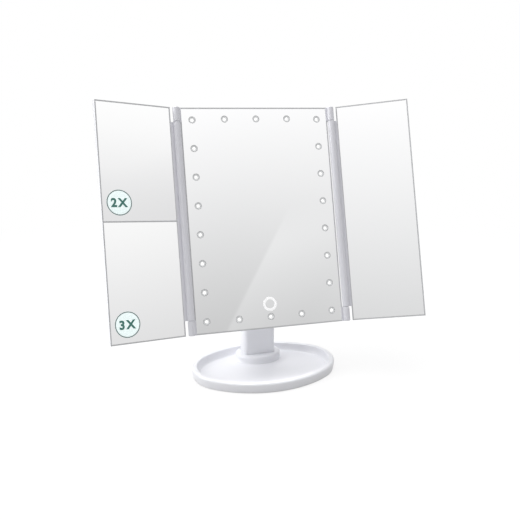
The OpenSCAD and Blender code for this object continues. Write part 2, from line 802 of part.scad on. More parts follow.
// Plate on the housing's back with the arm and knuckle that ride on the tilt pin.
module tilt_bracket() {
    color(shell_white) in_head() translate([0, 0, pivot_z]) difference() {
        union() {
            slab(bracket_w, head_depth, head_depth + bracket_t, bracket_h);
            translate([-tilt_knuckle_w / 2, 0, 0]) rotate([90, 0, 90]) linear_extrude(tilt_knuckle_w) {
                translate([pivot_y, 0]) circle(knuckle_r, $fn = 96);
                polygon([[head_depth, -arm_root], [head_depth + bracket_t, -arm_root], [pivot_y, -knuckle_r],
                    [pivot_y, knuckle_r], [head_depth + bracket_t, arm_root], [head_depth, arm_root]]);
            }
        }
        translate([0, pivot_y, 0]) rod_x(tilt_pin_d + 2 * running_fit, tilt_knuckle_w + 2 * cut);
        for (x = [-1, 1], z = [-1, 1]) {
            rod_y(screw_d + 2 * screw_gap, head_depth - cut, head_depth + bracket_t + cut,
                x * bracket_screw_x, z * bracket_screw_z);
            rod_y(screw_head_d + 2 * head_gap, head_depth + bracket_t - bracket_sink,
                head_depth + bracket_t + cut, x * bracket_screw_x, z * bracket_screw_z);
        }
    }
}

module bracket_screws() {
    color(steel) in_head()
    for (x = [-1, 1], z = [-1, 1])
        screw_y(x * bracket_screw_x, head_depth + bracket_t - bracket_sink, pivot_z + z * bracket_screw_z,
            screw_d, screw_head_d, screw_head_h, bracket_screw_len);
}

// ---- centre panel ---------------------------------------------------------

// The upper and lower knuckles on one side, each on a web and with a blind hole for its pin.
module housing_knuckles(side) {
    translate([side * (centre_w / 2 + axis_out), -axis_front, 0])
        for (s = [0, 1]) mirror([0, 0, s]) translate([0, 0, (panel_h - knuckle_len) / 2]) difference() {
            union() {
                barrel(knuckle_len, 1);
                translate([side > 0 ? -axis_out - rim_w : 0, axis_front - web_front, -knuckle_len / 2])
                    cube([axis_out + rim_w, web_t, knuckle_len]);
            }
            translate([0, 0, -knuckle_len / 2 - cut])
                cylinder(h = knuckle_len - knuckle_cap + cut, d = wing_pin_d);
        }
}

// A barrel along Z about its middle, with rounded end edges.
module barrel(length, end_r) {
    rotate_extrude($fn = 96) {
        translate([0, -length / 2 + end_r]) square([barrel_r, length - 2 * end_r]);
        translate([0, -length / 2]) square([barrel_r - end_r, length]);
        for (s = [-1, 1]) translate([barrel_r - end_r, s * (length / 2 - end_r)]) circle(end_r);
    }
}

touch_pad_lap = 1.25; // how far the pad reaches behind the ring
touch_pad_d = touch_hole_d + 2 * touch_pad_lap;
touch_pad_gap = 0.5; // clearance round the pad in the shelf
hole_floor = 0.4; // what is left of a post below its screw hole

// Front frame: rim, the shelf that the glass is taped to, posts for the screws and the board.
module front_frame() {
    color(shell_white) in_head() {
        difference() {
            union() {
                difference() {
                    slab(centre_w, -rim_lip, frame_depth, panel_h);
                    slab(glass_w, -rim_lip - cut, shelf_y, glass_h);
                    slab(centre_w - 2 * wall, shelf_back, frame_depth + cut, panel_h - 2 * wall);
                }
                for (p = posts) rod_y(post_d, shelf_back - bite, post_top, p[0], p[1]);
                for (x = [-1, 1], z = board_post_z)
                    rod_y(board_post_d, shelf_back - bite, control_y, x * board_post_x, z);
            }
            for (p = led_places) rod_y(led_d + 2 * led_gap, shelf_y - cut, shelf_back + cut, p[0], p[1]);
            rod_y(touch_pad_d + 2 * touch_pad_gap, shelf_y - cut, shelf_back + cut, 0, touch_z);
            for (p = posts)
                rod_y(screw_d + 2 * screw_gap, shelf_back + hole_floor, post_top + cut, p[0], p[1]);
            for (x = [-1, 1], z = board_post_z)
                rod_y(screw_d + 2 * screw_gap, shelf_back + hole_floor, control_y + cut, x * board_post_x, z);
        }
        for (s = [-1, 1]) housing_knuckles(s);
    }
}

inlet_w = 8;
inlet_t = 2.8;
inlet_len = 6;
inlet_gap = 0.2; // clearance round the inlet, and how far it stays inside the wall's face
inlet_wall = 0.4;
tongue_inset = 2; // from the inlet's side to its tongue
tongue_t = 0.6;
inlet_y = control_y + control_t;

lip_gap = 0.1; // clearance of a locating lip
lip_t = 1;
lip_reach = 1; // how far the rear housing's lip reaches into the front frame
lip_root = 2; // height of the lip's foot inside the rear housing
lip_bite = 0.5; // how far that foot reaches into the wall

// A ring inside the housing's wall: `out` is how far it reaches into the wall, and y0 its front.
module housing_ring(out, y0) {
    difference() {
        slab(centre_w - 2 * (wall - out), y0, frame_depth + lip_root, panel_h - 2 * (wall - out));
        slab(centre_w - 2 * (wall + lip_gap + lip_t), y0 - cut, frame_depth + lip_root + cut,
            panel_h - 2 * (wall + lip_gap + lip_t));
    }
}

// Rear housing with its battery box and screw sleeves.
module rear_housing() {
    color(shell_white) in_head() {
        difference() {
            union() {
                difference() {
                    panel_body(centre_w, panel_h, frame_depth, head_depth, rear_edge_r);
                    slab(centre_w - 2 * wall, frame_depth - cut, housing_floor, panel_h - 2 * wall);
                }
                // locating lip inside the front frame, and its foot
                housing_ring(-lip_gap, frame_depth - lip_reach);
                housing_ring(lip_bite, frame_depth);
                for (p = posts) rod_y(sleeve_d, post_top, housing_floor + bite, p[0], p[1]);
                for (x = [-1, 1], z = [-1, 1])
                    rod_y(post_d, housing_floor - bracket_boss_len, housing_floor + bite,
                        x * bracket_screw_x, pivot_z + z * bracket_screw_z);
                translate([0, 0, (box_z0 + box_z1) / 2])
                    slab(box_out_w, box_floor_y, box_back_y, box_z1 - box_z0);
            }
            // room for the cells and their contacts
            translate([0, 0, (box_z0 + box_z1) / 2])
                slab(box_in_w, box_floor_y + box_wall, box_back_y + cut, box_in_h);
            // grooves for the door's rails
            for (s = [-1, 1])
                translate([s * (box_out_w / 2 - groove_depth / 2 + cut / 2), 0, (box_z0 + box_z1) / 2])
                    slab(groove_depth + cut, groove_y0, groove_y1, box_z1 - box_z0 + 2 * cut);
            for (p = posts) {
                rod_y(screw_d + 2 * screw_gap, post_top - cut, head_depth + cut, p[0], p[1]);
                rod_y(screw_head_d + 4 * head_gap, screw_seat, head_depth + cut, p[0], p[1]);
            }
            for (x = [-1, 1], z = [-1, 1])
                rod_y(screw_d + 2 * screw_gap, housing_floor - bracket_boss_len - cut, head_depth + cut,
                    x * bracket_screw_x, pivot_z + z * bracket_screw_z);
            // opening for the power inlet in the lower wall
            translate([inlet_x - inlet_w / 2 - inlet_gap, inlet_y - inlet_gap, -panel_h / 2 - cut])
                cube([inlet_w + 2 * inlet_gap, inlet_t + 2 * inlet_gap, wall + 2 * cut]);
            // holes that let the battery leads through the box wall
            for (s = [-1, 1]) translate([s * lead_x, lead_y, box_z0 - cut])
                cylinder(h = box_wall + 2 * cut, d = wire_d + 4 * wire_gap);
        }
    }
}

module housing_screws() {
    color(steel) in_head()
    for (p = posts) screw_y(p[0], screw_seat, p[1], screw_d, screw_head_d, housing_screw_head_h,
        screw_seat - shelf_back - hole_floor - screw_end_gap);
}

module centre_mirror() {
    color(mirror_grey) in_head() difference() {
        slab(glass_w - 2 * glass_gap, 0, glass_t, glass_h - 2 * glass_gap);
        for (p = led_places) rod_y(window_d + 2 * window_gap, -cut, glass_t + cut, p[0], p[1]);
        difference() {
            rod_y(touch_d + 2 * window_gap, -cut, touch_t, 0, touch_z);
            rod_y(touch_hole_d - 2 * window_gap, -2 * cut, touch_t + cut, 0, touch_z);
        }
    }
}

module tape_strips(places, height, mid_z) {
    color("#e9e9e4") for (x = places) translate([x, 0, mid_z]) slab(tape_w, glass_t, shelf_y, height);
}

tape_inset = 6; // from the light boards to the outer strips of tape
mid_tape_rise = 30; // how much higher than the others the middle strip starts, above the touch pad

module centre_mirror_tape() {
    strip_x = led_x - led_board_w / 2 - tape_w / 2 - tape_inset;
    in_head() {
        tape_strips([-strip_x, strip_x], 2 * post_z, 0);
        tape_strips([0], 2 * post_z - mid_tape_rise, mid_tape_rise / 2);
    }
}

module light_windows() {
    color("#d3d6da") in_head() for (p = led_places) difference() {
        rod_y(window_d, window_gap, shelf_y, p[0], p[1]);
        rod_y(led_d + 2 * led_gap, -cut, shelf_y + cut, p[0], p[1]);
    }
}

// Round-headed lights that stand on their boards and reach the front of the glass.
module led_heads() {
    color("white") in_head() for (p = led_places) {
        rod_y(led_d, led_d / 2 + led_gap, shelf_back, p[0], p[1]);
        translate([p[0], led_d / 2 + led_gap, p[1]]) sphere(d = led_d, $fn = 48);
    }
}

board_end = 0.5; // how far the upright boards reach beyond the ones across
butt_gap = 0.1; // between the light boards at the corners

// Four strips of light board behind the shelf, butted at the corners.
module led_boards() {
    side_h = 2 * (led_z + led_board_w / 2 + board_end);
    color(circuit_green) in_head() {
        for (s = [-1, 1]) translate([s * led_x, 0, 0])
            slab(led_board_w, shelf_back, shelf_back + led_board_t, side_h);
        for (s = [-1, 1]) translate([0, 0, s * (led_z + led_row_step / 2)])
            slab(2 * led_x - led_board_w - 2 * butt_gap, shelf_back, shelf_back + led_board_t, led_board_w);
    }
}

module touch_ring() {
    color("white") in_head() difference() {
        rod_y(touch_d, 0, touch_t, 0, touch_z);
        rod_y(touch_hole_d, -cut, touch_t + cut, 0, touch_z);
    }
}

// Conductive pad between the glass and the control board, behind the touch ring.
module touch_pad() {
    color("#4b4d50") in_head() rod_y(touch_pad_d, glass_t, control_y, 0, touch_z);
}

module control_board() {
    color(circuit_green) in_head() difference() {
        translate([0, 0, control_z]) slab(control_w, control_y, control_y + control_t, control_h);
        for (x = [-1, 1], z = board_post_z)
            rod_y(screw_d + 2 * screw_gap, control_y - cut, control_y + control_t + cut, x * board_post_x, z);
    }
}

module board_screws() {
    color(steel) in_head()
    for (x = [-1, 1], z = board_post_z) screw_y(x * board_post_x, control_y + control_t, z,
        screw_d, screw_head_d, screw_head_h, control_t + control_stand - hole_floor - screw_end_gap / 2);
}

// Micro power socket on the board's lower edge.
module power_inlet() {
    color("#c3c5c8") in_head() translate([inlet_x, inlet_y, -panel_h / 2 + inlet_gap]) {
        difference() {
            translate([-inlet_w / 2, 0, 0]) cube([inlet_w, inlet_t, inlet_len]);
            translate([inlet_wall - inlet_w / 2, inlet_wall, -cut])
                cube([inlet_w - 2 * inlet_wall, inlet_t - 2 * inlet_wall, inlet_len - 2 * inlet_wall + cut]);
        }
        translate([tongue_inset - inlet_w / 2, (inlet_t - tongue_t) / 2, inlet_wall])
            cube([inlet_w - 2 * tongue_inset, tongue_t, inlet_len - 2 * inlet_wall]);
    }
}

wire_inset = 1; // from a board's edge to the wires along it

// Leads: from the battery box down to the control board, and from the board to the light strips.
module lead_wires() {
    board_back = control_y + control_t;
    down_z = control_z + control_h / 2 - 2 * wire_inset;
    side_z = control_z + control_h / 2 - wire_inset;
    side_x = led_x - 2 * wire_inset;
    edge_x = control_w / 2 - 2 * wire_inset;
    color("#b23b33") in_head() for (s = [-1, 1]) {
        wire_run([[s * lead_x, lead_y, box_z0 + box_wall], [s * lead_x, lead_y, down_z],
            [s * lead_x, board_back, down_z]]);
        wire_run([[s * edge_x, board_back, side_z], [s * edge_x, lead_y, side_z],
            [s * side_x, lead_y, side_z], [s * side_x, shelf_back + led_board_t, side_z]]);
    }
}

// A round wire through points whose segments follow the axes.
module wire_run(points) {
    for (i = [0 : len(points) - 2]) wire_leg(points[i], points[i + 1]);
    for (i = [1 : len(points) - 2]) translate(points[i]) sphere(d = wire_d, $fn = 24);
}

module wire_leg(a, b) {
    v = b - a;
    length = norm(v);
    translate(a) rotate([0, acos(v[2] / length), atan2(v[1], v[0])])
        cylinder(h = length, d = wire_d, $fn = 24);
}

// ---- batteries ------------------------------------------------------------

cell_nub_d = 3.8;
cell_nub_h = 1;

// Cells stand side by side, every other one turned over.
module battery_cells() {
    in_head() for (i = [0 : cells - 1]) translate([cell_x[i], cell_y, cell_z0 + cell_len / 2])
        rotate([i % 2 == 0 ? 0 : 180, 0, 0]) translate([0, 0, -cell_len / 2]) {
            color("#3d6fa8") cylinder(h = cell_len - cell_nub_h, d = cell_d);
            color(steel) cylinder(h = cell_len, d = cell_nub_d);
        }
}

contact_w = 8.4;
contact_h = 9;
contact_t = 0.4;
contact_stub_d = 4.4;

// Contact plates on the box's end walls, each with a stub that reaches its cell.
module battery_contacts() {
    color(steel) in_head() for (x = cell_x, s = [-1, 1])
        translate([x, cell_y, cell_z0 + cell_len / 2 + s * (cell_len / 2 + contact_room)])
            rotate([s > 0 ? 180 : 0, 0, 0]) {
                translate([-contact_w / 2, -contact_h / 2, 0]) cube([contact_w, contact_h, contact_t]);
                cylinder(h = contact_room, d = contact_stub_d);
            }
}

ridge_d = 1;
ridge_len = 18;
ridge_pitch = 2.4;
ridge_up = 5; // height of the lowest thumb ridge above the door's lower edge

// Sliding door over the battery box, with a rail on each side that rides in the box's groove.
module battery_door() {
    half = box_out_w / 2;
    color(shell_white) in_head() translate([0, 0, box_z0 - door_wing]) {
        linear_extrude(box_z1 - box_z0 + door_wing) {
            translate([-half - door_gap - door_wing, box_back_y + door_seat])
                square([2 * (half + door_gap + door_wing), door_t]);
            for (s = [-1, 1]) scale([s, 1]) {
                translate([half + door_gap, groove_y0 + door_gap])
                    square([door_wing, box_back_y + door_seat + door_t - groove_y0 - door_gap]);
                translate([half - groove_depth + door_gap, groove_y0 + door_gap])
                    square([groove_depth + door_wing, groove_y1 - groove_y0 - 2 * door_gap]);
            }
        }
        // thumb ridges
        for (i = [0 : 2]) translate([0, box_back_y + door_seat + door_t, ridge_up + ridge_pitch * i])
            rotate([0, 90, 0]) cylinder(h = ridge_len, d = ridge_d, center = true, $fn = 24);
    }
}

// ---- wings ----------------------------------------------------------------

wing_mid = axis_to_wing + wing_w / 2;
wing_barrel_len = panel_h - 2 * knuckle_len - 2 * knuckle_gap;
cover_lip_t = 1.4;
cover_lip_h = 0.8; // how far the cover's lip reaches into the wing's frame
wing_tape_rest = 24; // length of each half of a wing that the strips leave free

// Frame of a wing: rim, shelf, and the long hinge barrel on its web.
module wing_frame() {
    difference() {
        union() {
            translate([wing_mid, axis_front, 0]) difference() {
                slab(wing_w, -rim_lip, wing_floor, panel_h);
                slab(wing_glass_w, -rim_lip - cut, shelf_y, glass_h);
                slab(wing_w - 2 * wall, shelf_back, wing_floor + cut, panel_h - 2 * wall);
            }
            barrel(wing_barrel_len, 0.4);
            translate([1, axis_front - web_front, -wing_barrel_len / 2])
                cube([axis_to_wing - 1 + rim_w / 2, web_t, wing_barrel_len]);
        }
        for (s = [-1, 1]) translate([0, 0, s * wing_barrel_len / 2])
            cylinder(h = 2 * (wing_pin_len - knuckle_len + knuckle_cap + pin_end_gap),
                d = wing_pin_d + 2 * running_fit, center = true);
    }
}

// Back cover of a wing, with a lip that fits inside the frame.
module wing_cover() {
    translate([wing_mid, axis_front, 0]) {
        panel_body(wing_w, panel_h, wing_floor, wing_depth, wing_edge_r);
        difference() {
            slab(wing_w - 2 * (wall + lip_gap), wing_floor - cover_lip_h, wing_floor + bite,
                panel_h - 2 * (wall + lip_gap));
            slab(wing_w - 2 * (wall + lip_gap + cover_lip_t), wing_floor - cover_lip_h - cut,
                wing_floor + bite + cut, panel_h - 2 * (wall + lip_gap + cover_lip_t));
        }
    }
}

module wing_glass(z0, z1) {
    translate([wing_mid, axis_front, (z0 + z1) / 2]) slab(wing_glass_w - 2 * glass_gap, 0, glass_t, z1 - z0);
}

module wing_tape() {
    translate([wing_mid, axis_front, 0])
        for (s = [-1, 1]) translate([0, 0, s * glass_h / 4])
            tape_strips([-wing_glass_w / 4, wing_glass_w / 4], glass_h / 2 - wing_tape_rest, 0);
}

// Two pins for one wing, pressed into the knuckles and running in the wing's barrel.
module hinge_pins(side) {
    mid_z = panel_h / 2 - knuckle_cap - wing_pin_len / 2;
    color(steel) in_head() for (s = [-1, 1])
        translate([side * (centre_w / 2 + axis_out), -axis_front, s * mid_z])
            cylinder(h = wing_pin_len, d = wing_pin_d, center = true);
}

module left_wing_frame() { color(shell_white) in_left_wing() wing_frame(); }
module left_wing_cover() { color(shell_white) in_left_wing() wing_cover(); }
module upper_magnifying_mirror() {
    color(mirror_grey) in_left_wing() wing_glass(mirror_split / 2, glass_h / 2 - glass_gap);
}
module lower_magnifying_mirror() {
    color(mirror_grey) in_left_wing() wing_glass(glass_gap - glass_h / 2, -mirror_split / 2);
}
module left_mirror_tape() { in_left_wing() wing_tape(); }
module left_hinge_pins() { hinge_pins(-1); }
module right_wing_frame() { color(shell_white) in_right_wing() wing_frame(); }
module right_wing_cover() { color(shell_white) in_right_wing() wing_cover(); }
module right_mirror() {
    color(mirror_grey) in_right_wing() wing_glass(glass_gap - glass_h / 2, glass_h / 2 - glass_gap);
}
module right_mirror_tape() { in_right_wing() wing_tape(); }
module right_hinge_pins() { hinge_pins(1); }

// Round labels near the lower outer corner of each magnifying mirror.
module magnification_labels() {
    color("#eef8f6") in_left_wing()
    for (z = [0, -panel_h / 2]) rod_y(label_d, axis_front - label_t, axis_front,
        axis_to_wing + wing_w - label_side, z + label_up);
}

placed() tray();
placed() bottom_cover();
placed() ballast_plate();
placed() rubber_feet();
placed() base_screws();
placed() neck_front_shell();
placed() neck_rear_shell();
placed() neck_screws();
placed() foot_screws();
placed() tilt_pin();
placed() pin_caps();
placed() friction_washers();
placed() tilt_bracket();
placed() bracket_screws();
placed() rear_housing();
placed() front_frame();
placed() housing_screws();
placed() centre_mirror();
placed() centre_mirror_tape();
placed() light_windows();
placed() led_heads();
placed() led_boards();
placed() touch_ring();
placed() touch_pad();
placed() control_board();
placed() board_screws();
placed() power_inlet();
placed() lead_wires();
placed() battery_cells();
placed() battery_contacts();
placed() battery_door();
placed() left_wing_frame();
placed() left_wing_cover();
placed() upper_magnifying_mirror();
placed() lower_magnifying_mirror();
placed() left_mirror_tape();
placed() magnification_labels();
placed() left_hinge_pins();
placed() right_wing_frame();
placed() right_wing_cover();
placed() right_mirror();
placed() right_mirror_tape();
placed() right_hinge_pins();
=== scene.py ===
"""Looks of a trifold vanity mirror on an oval tray stand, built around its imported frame."""
import json
import math

import bmesh
import bpy
import numpy as np
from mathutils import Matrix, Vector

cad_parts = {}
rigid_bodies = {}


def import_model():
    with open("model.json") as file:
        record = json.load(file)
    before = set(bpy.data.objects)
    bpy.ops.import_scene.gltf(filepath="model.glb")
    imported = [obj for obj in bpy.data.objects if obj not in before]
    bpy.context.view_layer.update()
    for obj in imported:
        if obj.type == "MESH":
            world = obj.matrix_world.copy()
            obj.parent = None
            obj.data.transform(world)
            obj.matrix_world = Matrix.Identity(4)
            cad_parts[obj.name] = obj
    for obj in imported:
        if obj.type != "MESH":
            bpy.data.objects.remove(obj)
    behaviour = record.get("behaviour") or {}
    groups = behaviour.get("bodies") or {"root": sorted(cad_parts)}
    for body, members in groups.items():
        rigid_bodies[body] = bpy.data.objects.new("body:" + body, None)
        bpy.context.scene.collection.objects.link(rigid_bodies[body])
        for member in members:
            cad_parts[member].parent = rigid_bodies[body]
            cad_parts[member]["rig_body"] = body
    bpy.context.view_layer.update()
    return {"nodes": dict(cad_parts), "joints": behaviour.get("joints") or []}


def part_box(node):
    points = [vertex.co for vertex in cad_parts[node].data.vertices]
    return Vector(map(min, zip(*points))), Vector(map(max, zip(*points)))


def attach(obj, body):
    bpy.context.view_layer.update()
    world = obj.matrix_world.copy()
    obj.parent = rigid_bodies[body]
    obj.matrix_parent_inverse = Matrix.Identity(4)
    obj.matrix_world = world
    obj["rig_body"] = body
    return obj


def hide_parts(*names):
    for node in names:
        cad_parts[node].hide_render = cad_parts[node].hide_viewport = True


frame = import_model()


# ---- the room ---------------------------------------------------------------
# A white photo studio: a pale floor, soft lamps above and to the left, and a sky
# that is white to the camera and shades off towards the horizon in what mirrors.

class Wire:
    """An output of a node, used in Python arithmetic. Each operation adds one Math node."""

    def __init__(self, shader, output):
        self.shader, self.output = shader, output

    def math(self, operation, *values):
        return self.shader.node("ShaderNodeMath", {"operation": operation}, dict(enumerate(values)))[0]

    def __add__(self, other):
        return self.math("ADD", self, other)

    def __sub__(self, other):
        return self.math("SUBTRACT", self, other)

    def __rsub__(self, other):
        return self.math("SUBTRACT", other, self)

    def __mul__(self, other):
        return self.math("MULTIPLY", self, other)

    __radd__, __rmul__ = __add__, __mul__

    def size(self):
        return self.math("ABSOLUTE", self)

    def smaller(self, other):
        return self.math("MINIMUM", self, other)

    def larger(self, other):
        return self.math("MAXIMUM", self, other)

    def rise(self, low, high):
        """0 at low, 1 at high, and a smooth step between them; low may be the larger number."""
        return self.shader.node(
            "ShaderNodeMapRange", {"interpolation_type": "SMOOTHSTEP"},
            {"Value": self, "From Min": low, "From Max": high})[0]


class Shader:
    """The node tree of a material or of the world."""

    def __init__(self, owner):
        owner.use_nodes = True
        self.tree = owner.node_tree
        self.tree.nodes.clear()

    def node(self, kind, settings=None, sockets=None):
        """Adds a node, sets its settings, then fills its sockets with values or wires.
        Its outputs come back as wires."""
        node = self.tree.nodes.new(kind)
        for name, value in (settings or {}).items():
            setattr(node, name, value)
        for name, value in (sockets or {}).items():
            if isinstance(value, Wire):
                self.tree.links.new(value.output, node.inputs[name])
            else:
                node.inputs[name].default_value = value
        return [Wire(self, output) for output in node.outputs]

    def mix(self, share, first, second):
        """A colour between two colours; share is how much of the second."""
        sockets = {0: share, 6: (*first, 1), 7: (*second, 1)}
        return self.node("ShaderNodeMix", {"data_type": "RGBA"}, sockets)[2]

    def axes(self, vector):
        """The three parts of a vector."""
        return self.node("ShaderNodeSeparateXYZ", sockets={0: vector})[:3]

    def along(self, vector, direction):
        """How far a vector reaches along a fixed direction."""
        sockets = {0: vector, 1: direction}
        return self.node("ShaderNodeVectorMath", {"operation": "DOT_PRODUCT"}, sockets)[1]

    def object_place(self):
        """Object coordinates. Every object is at the origin, so these are places at rest."""
        return self.node("ShaderNodeTexCoord")[3]

    def noise(self, vector, size, detail=2.0):
        """Smooth noise from 0 to 1 whose lumps are about `size` metres across."""
        return self.node("ShaderNodeTexNoise",
                         sockets={"Vector": vector, "Scale": 1 / size, "Detail": detail})[0]

    def bump(self, height, depth):
        """A normal for a surface whose height, from 0 to 1, stands for `depth` metres."""
        sockets = {"Height": height, "Distance": depth, "Strength": 1.0}
        return self.node("ShaderNodeBump", sockets=sockets)[0]


SKY_WHITE = 1.0          # the sky as the camera sees it
DAYLIGHT = 0.27          # its strength on matt surfaces, level with them
DAYLIGHT_RISE = 0.55     # how much stronger it is straight overhead
HORIZON_SHADE = 0.556    # what a level mirror sees
SHADE_RISE = 0.92        # how fast that brightens with the sine of the elevation
SHADE_TOP = 1.06         # the brightest that a mirror sees
LOBE_ACROSS = 0.19       # the dim lobe's middle and half width, to the right
LOBE_HALF = 0.42
LOBE_SHADE = 0.125
WALL_GAIN = 0.11         # the lighter wall on the right
SLANT_NORMAL = (0.8340, 0.0356, -0.5508)
SLANT_GAIN = 0.085       # the step in brightness at the slanting edge
SLANT_FADE = 7
SLANT_REST = 0.2         # the share of the step that is left far beyond the edge


def paint_sky():
    """What mirrors see brightens in a straight line with the sine of the elevation. In front of them
    lie a dim lobe, a lighter wall on the far right, and a brighter part beyond a slanting edge."""
    world = bpy.data.worlds.new("studio")
    bpy.context.scene.world = world
    sky = Shader(world)
    direction = sky.node("ShaderNodeTexCoord")[0]
    x, y, z = sky.axes(direction)
    front = (0 - y).rise(0.3, 0.7)
    above = z.larger(0.0)
    lobe = (x - LOBE_ACROSS).size().rise(LOBE_HALF, 0.0) * z.rise(0.75, 0.2) * front
    right_wall = x.rise(0.40, 0.60) * front
    past_edge = sky.along(direction, SLANT_NORMAL)
    step = past_edge.rise(-0.003, 0.004) * (1 - past_edge * SLANT_FADE).larger(SLANT_REST)
    slant = step * z.rise(0.41, 0.33) * front
    level = (above * SHADE_RISE + HORIZON_SHADE - lobe * LOBE_SHADE
             + right_wall * WALL_GAIN + slant * SLANT_GAIN)
    mirrored = sky.node("ShaderNodeEmission", sockets={"Strength": level.smaller(SHADE_TOP)})[0]
    plain = sky.node("ShaderNodeEmission", sockets={"Strength": above * DAYLIGHT_RISE + DAYLIGHT})[0]
    white = sky.node("ShaderNodeEmission", sockets={"Strength": SKY_WHITE})[0]
    rays = sky.node("ShaderNodeLightPath")
    glossy = rays[3].larger(rays[6])
    lit = sky.node("ShaderNodeMixShader", sockets={0: glossy, 1: plain, 2: mirrored})[0]
    seen = sky.node("ShaderNodeMixShader", sockets={0: rays[0], 1: lit, 2: white})[0]
    sky.node("ShaderNodeOutputWorld", sockets={"Surface": seen})


paint_sky()
scene = bpy.context.scene
scene.view_settings.view_transform = "Standard"

FLOOR_HALF = 6.0
FLOOR_SEEN = (0.93, 0.93, 0.93)
FLOOR_BOUNCE = (0.50, 0.50, 0.50)    # what it throws back onto the object
FLOOR_WHITE = 0.84                   # the share of plain white in it, near the object
FLOOR_FADE = (0.25, 1.0)             # from here to there it turns wholly white
bpy.ops.mesh.primitive_plane_add(size=2 * FLOOR_HALF)
floor = bpy.context.object
floor.name = "studio_floor"


def paint_floor():
    """Matt near-white. Seen directly or in a mirror it is mostly plain white, with a trace of
    shadow round the object that fades out with the distance from it."""
    matt = bpy.data.materials.new("studio_floor")
    shader = Shader(matt)
    rays = shader.node("ShaderNodeLightPath")
    seen = rays[0].larger(rays[3]).larger(rays[6])
    tone = shader.mix(seen, FLOOR_BOUNCE, FLOOR_SEEN)
    lit = shader.node("ShaderNodeBsdfDiffuse", sockets={"Color": tone})[0]
    white = shader.node("ShaderNodeEmission", sockets={"Strength": SKY_WHITE})[0]
    away = shader.node("ShaderNodeVectorMath", {"operation": "LENGTH"}, {0: shader.object_place()})[1]
    share = seen * (away.rise(*FLOOR_FADE) * (1 - FLOOR_WHITE) + FLOOR_WHITE)
    surface = shader.node("ShaderNodeMixShader", sockets={0: share, 1: lit, 2: white})[0]
    shader.node("ShaderNodeOutputMaterial", sockets={"Surface": surface})
    floor.data.materials.append(matt)


paint_floor()


def soft_box(name, place, target, size, power):
    """A square lamp at a place that faces a target, with its power in watts."""
    lamp = bpy.data.lights.new(name, "AREA")
    lamp.energy, lamp.size = power, size
    box = bpy.data.objects.new(name, lamp)
    box.location = place
    gaze = np.subtract(target, place)
    turn = math.atan2(gaze[1], gaze[0]) - math.pi / 2
    box.rotation_euler = (math.acos(-gaze[2] / np.linalg.norm(gaze)), 0, turn)
    bpy.context.collection.objects.link(box)


soft_box("top_box", (-0.25, 0.3, 3.2), (0, 0, 0.1), 2.3, 72)
soft_box("left_box", (-1.6, 0.1, 0.9), (0, 0, 0.12), 1.0, 15)

# The camera stands a little to the left of the mirror and looks slightly down.
CAMERA_PLACE = (-0.1572, -0.5754, 0.29327)
CAMERA_YAW = math.radians(-14.74)
CAMERA_DIP = math.radians(15.02)
SENSOR = 36.0            # in millimetres
FOCAL_PIXELS = 565.42
IMAGE_PIXELS = 520

view = bpy.data.cameras.new("camera")
view.sensor_width = SENSOR
view.lens = FOCAL_PIXELS / IMAGE_PIXELS * SENSOR
camera = bpy.data.objects.new("camera", view)
camera.location = CAMERA_PLACE
camera.rotation_euler = (math.pi / 2 - CAMERA_DIP, 0, CAMERA_YAW)
bpy.context.collection.objects.link(camera)
scene.camera = camera


# ---- tray -------------------------------------------------------------------
# The base is one glossy white moulding: an oval dish whose hollow wall rolls over
# a soft rim, with a raised collar at the back that the neck plugs into.

MM = 0.001
nodes = frame["nodes"]


class Place:
    """A frame of reference: its origin and its three axes, of unit length, in the shared frame."""

    def __init__(self, origin=(0, 0, 0), across=(1, 0, 0), back=(0, 1, 0), up=(0, 0, 1)):
        self.origin = np.array(origin, float)
        self.axes = np.array([across, back, up], float)

    def out(self, points):
        """Points of this place, in the shared frame."""
        return self.origin + np.asarray(points, float) @ self.axes

    def within(self, points):
        """Points of the shared frame, in this place."""
        return (np.asarray(points, float) - self.origin) @ self.axes.T

    def moved(self, across, back, up):
        """The same axes about another of this place's points."""
        return Place(self.out([across, back, up]), *self.axes)


def quads(rows, columns, first):
    """Corner numbers of a grid's quads; its points are numbered row by row from `first`."""
    corner = first + np.arange(rows - 1)[:, None] * columns + np.arange(columns - 1)
    return np.stack([corner, corner + 1, corner + columns + 1, corner + columns], -1).reshape(-1, 4)


SEAM_WIDTH = 0.0002 * MM    # points closer than this are one


def piece(name, grids, place, body, materials, crease=40):
    """An object from grids of points in a place, as one mesh. Points that meet are merged, which
    closes seams and poles, faces are turned outwards, and edges sharper than `crease` degrees
    stay sharp."""
    sizes = [grid.shape[0] * grid.shape[1] for grid in grids]
    starts = np.concatenate([[0], np.cumsum(sizes)[:-1]])
    points = place.out(np.concatenate([grid.reshape(-1, 3) for grid in grids]))
    faces = np.concatenate([quads(*grid.shape[:2], start) for grid, start in zip(grids, starts)])
    mesh = bpy.data.meshes.new(name)
    mesh.vertices.add(len(points))
    mesh.vertices.foreach_set("co", points.ravel())
    mesh.loops.add(faces.size)
    mesh.loops.foreach_set("vertex_index", faces.ravel().astype(np.int32))
    mesh.polygons.add(len(faces))
    mesh.polygons.foreach_set("loop_start", np.arange(0, faces.size, 4, dtype=np.int32))
    mesh.update(calc_edges=True)
    tidy = bmesh.new()
    tidy.from_mesh(mesh)
    bmesh.ops.remove_doubles(tidy, verts=tidy.verts, dist=SEAM_WIDTH)
    bmesh.ops.dissolve_degenerate(tidy, edges=tidy.edges, dist=0.5 * SEAM_WIDTH)
    bmesh.ops.recalc_face_normals(tidy, faces=tidy.faces)
    tidy.to_mesh(mesh)
    tidy.free()
    return finish_piece(name, mesh, body, materials, crease)


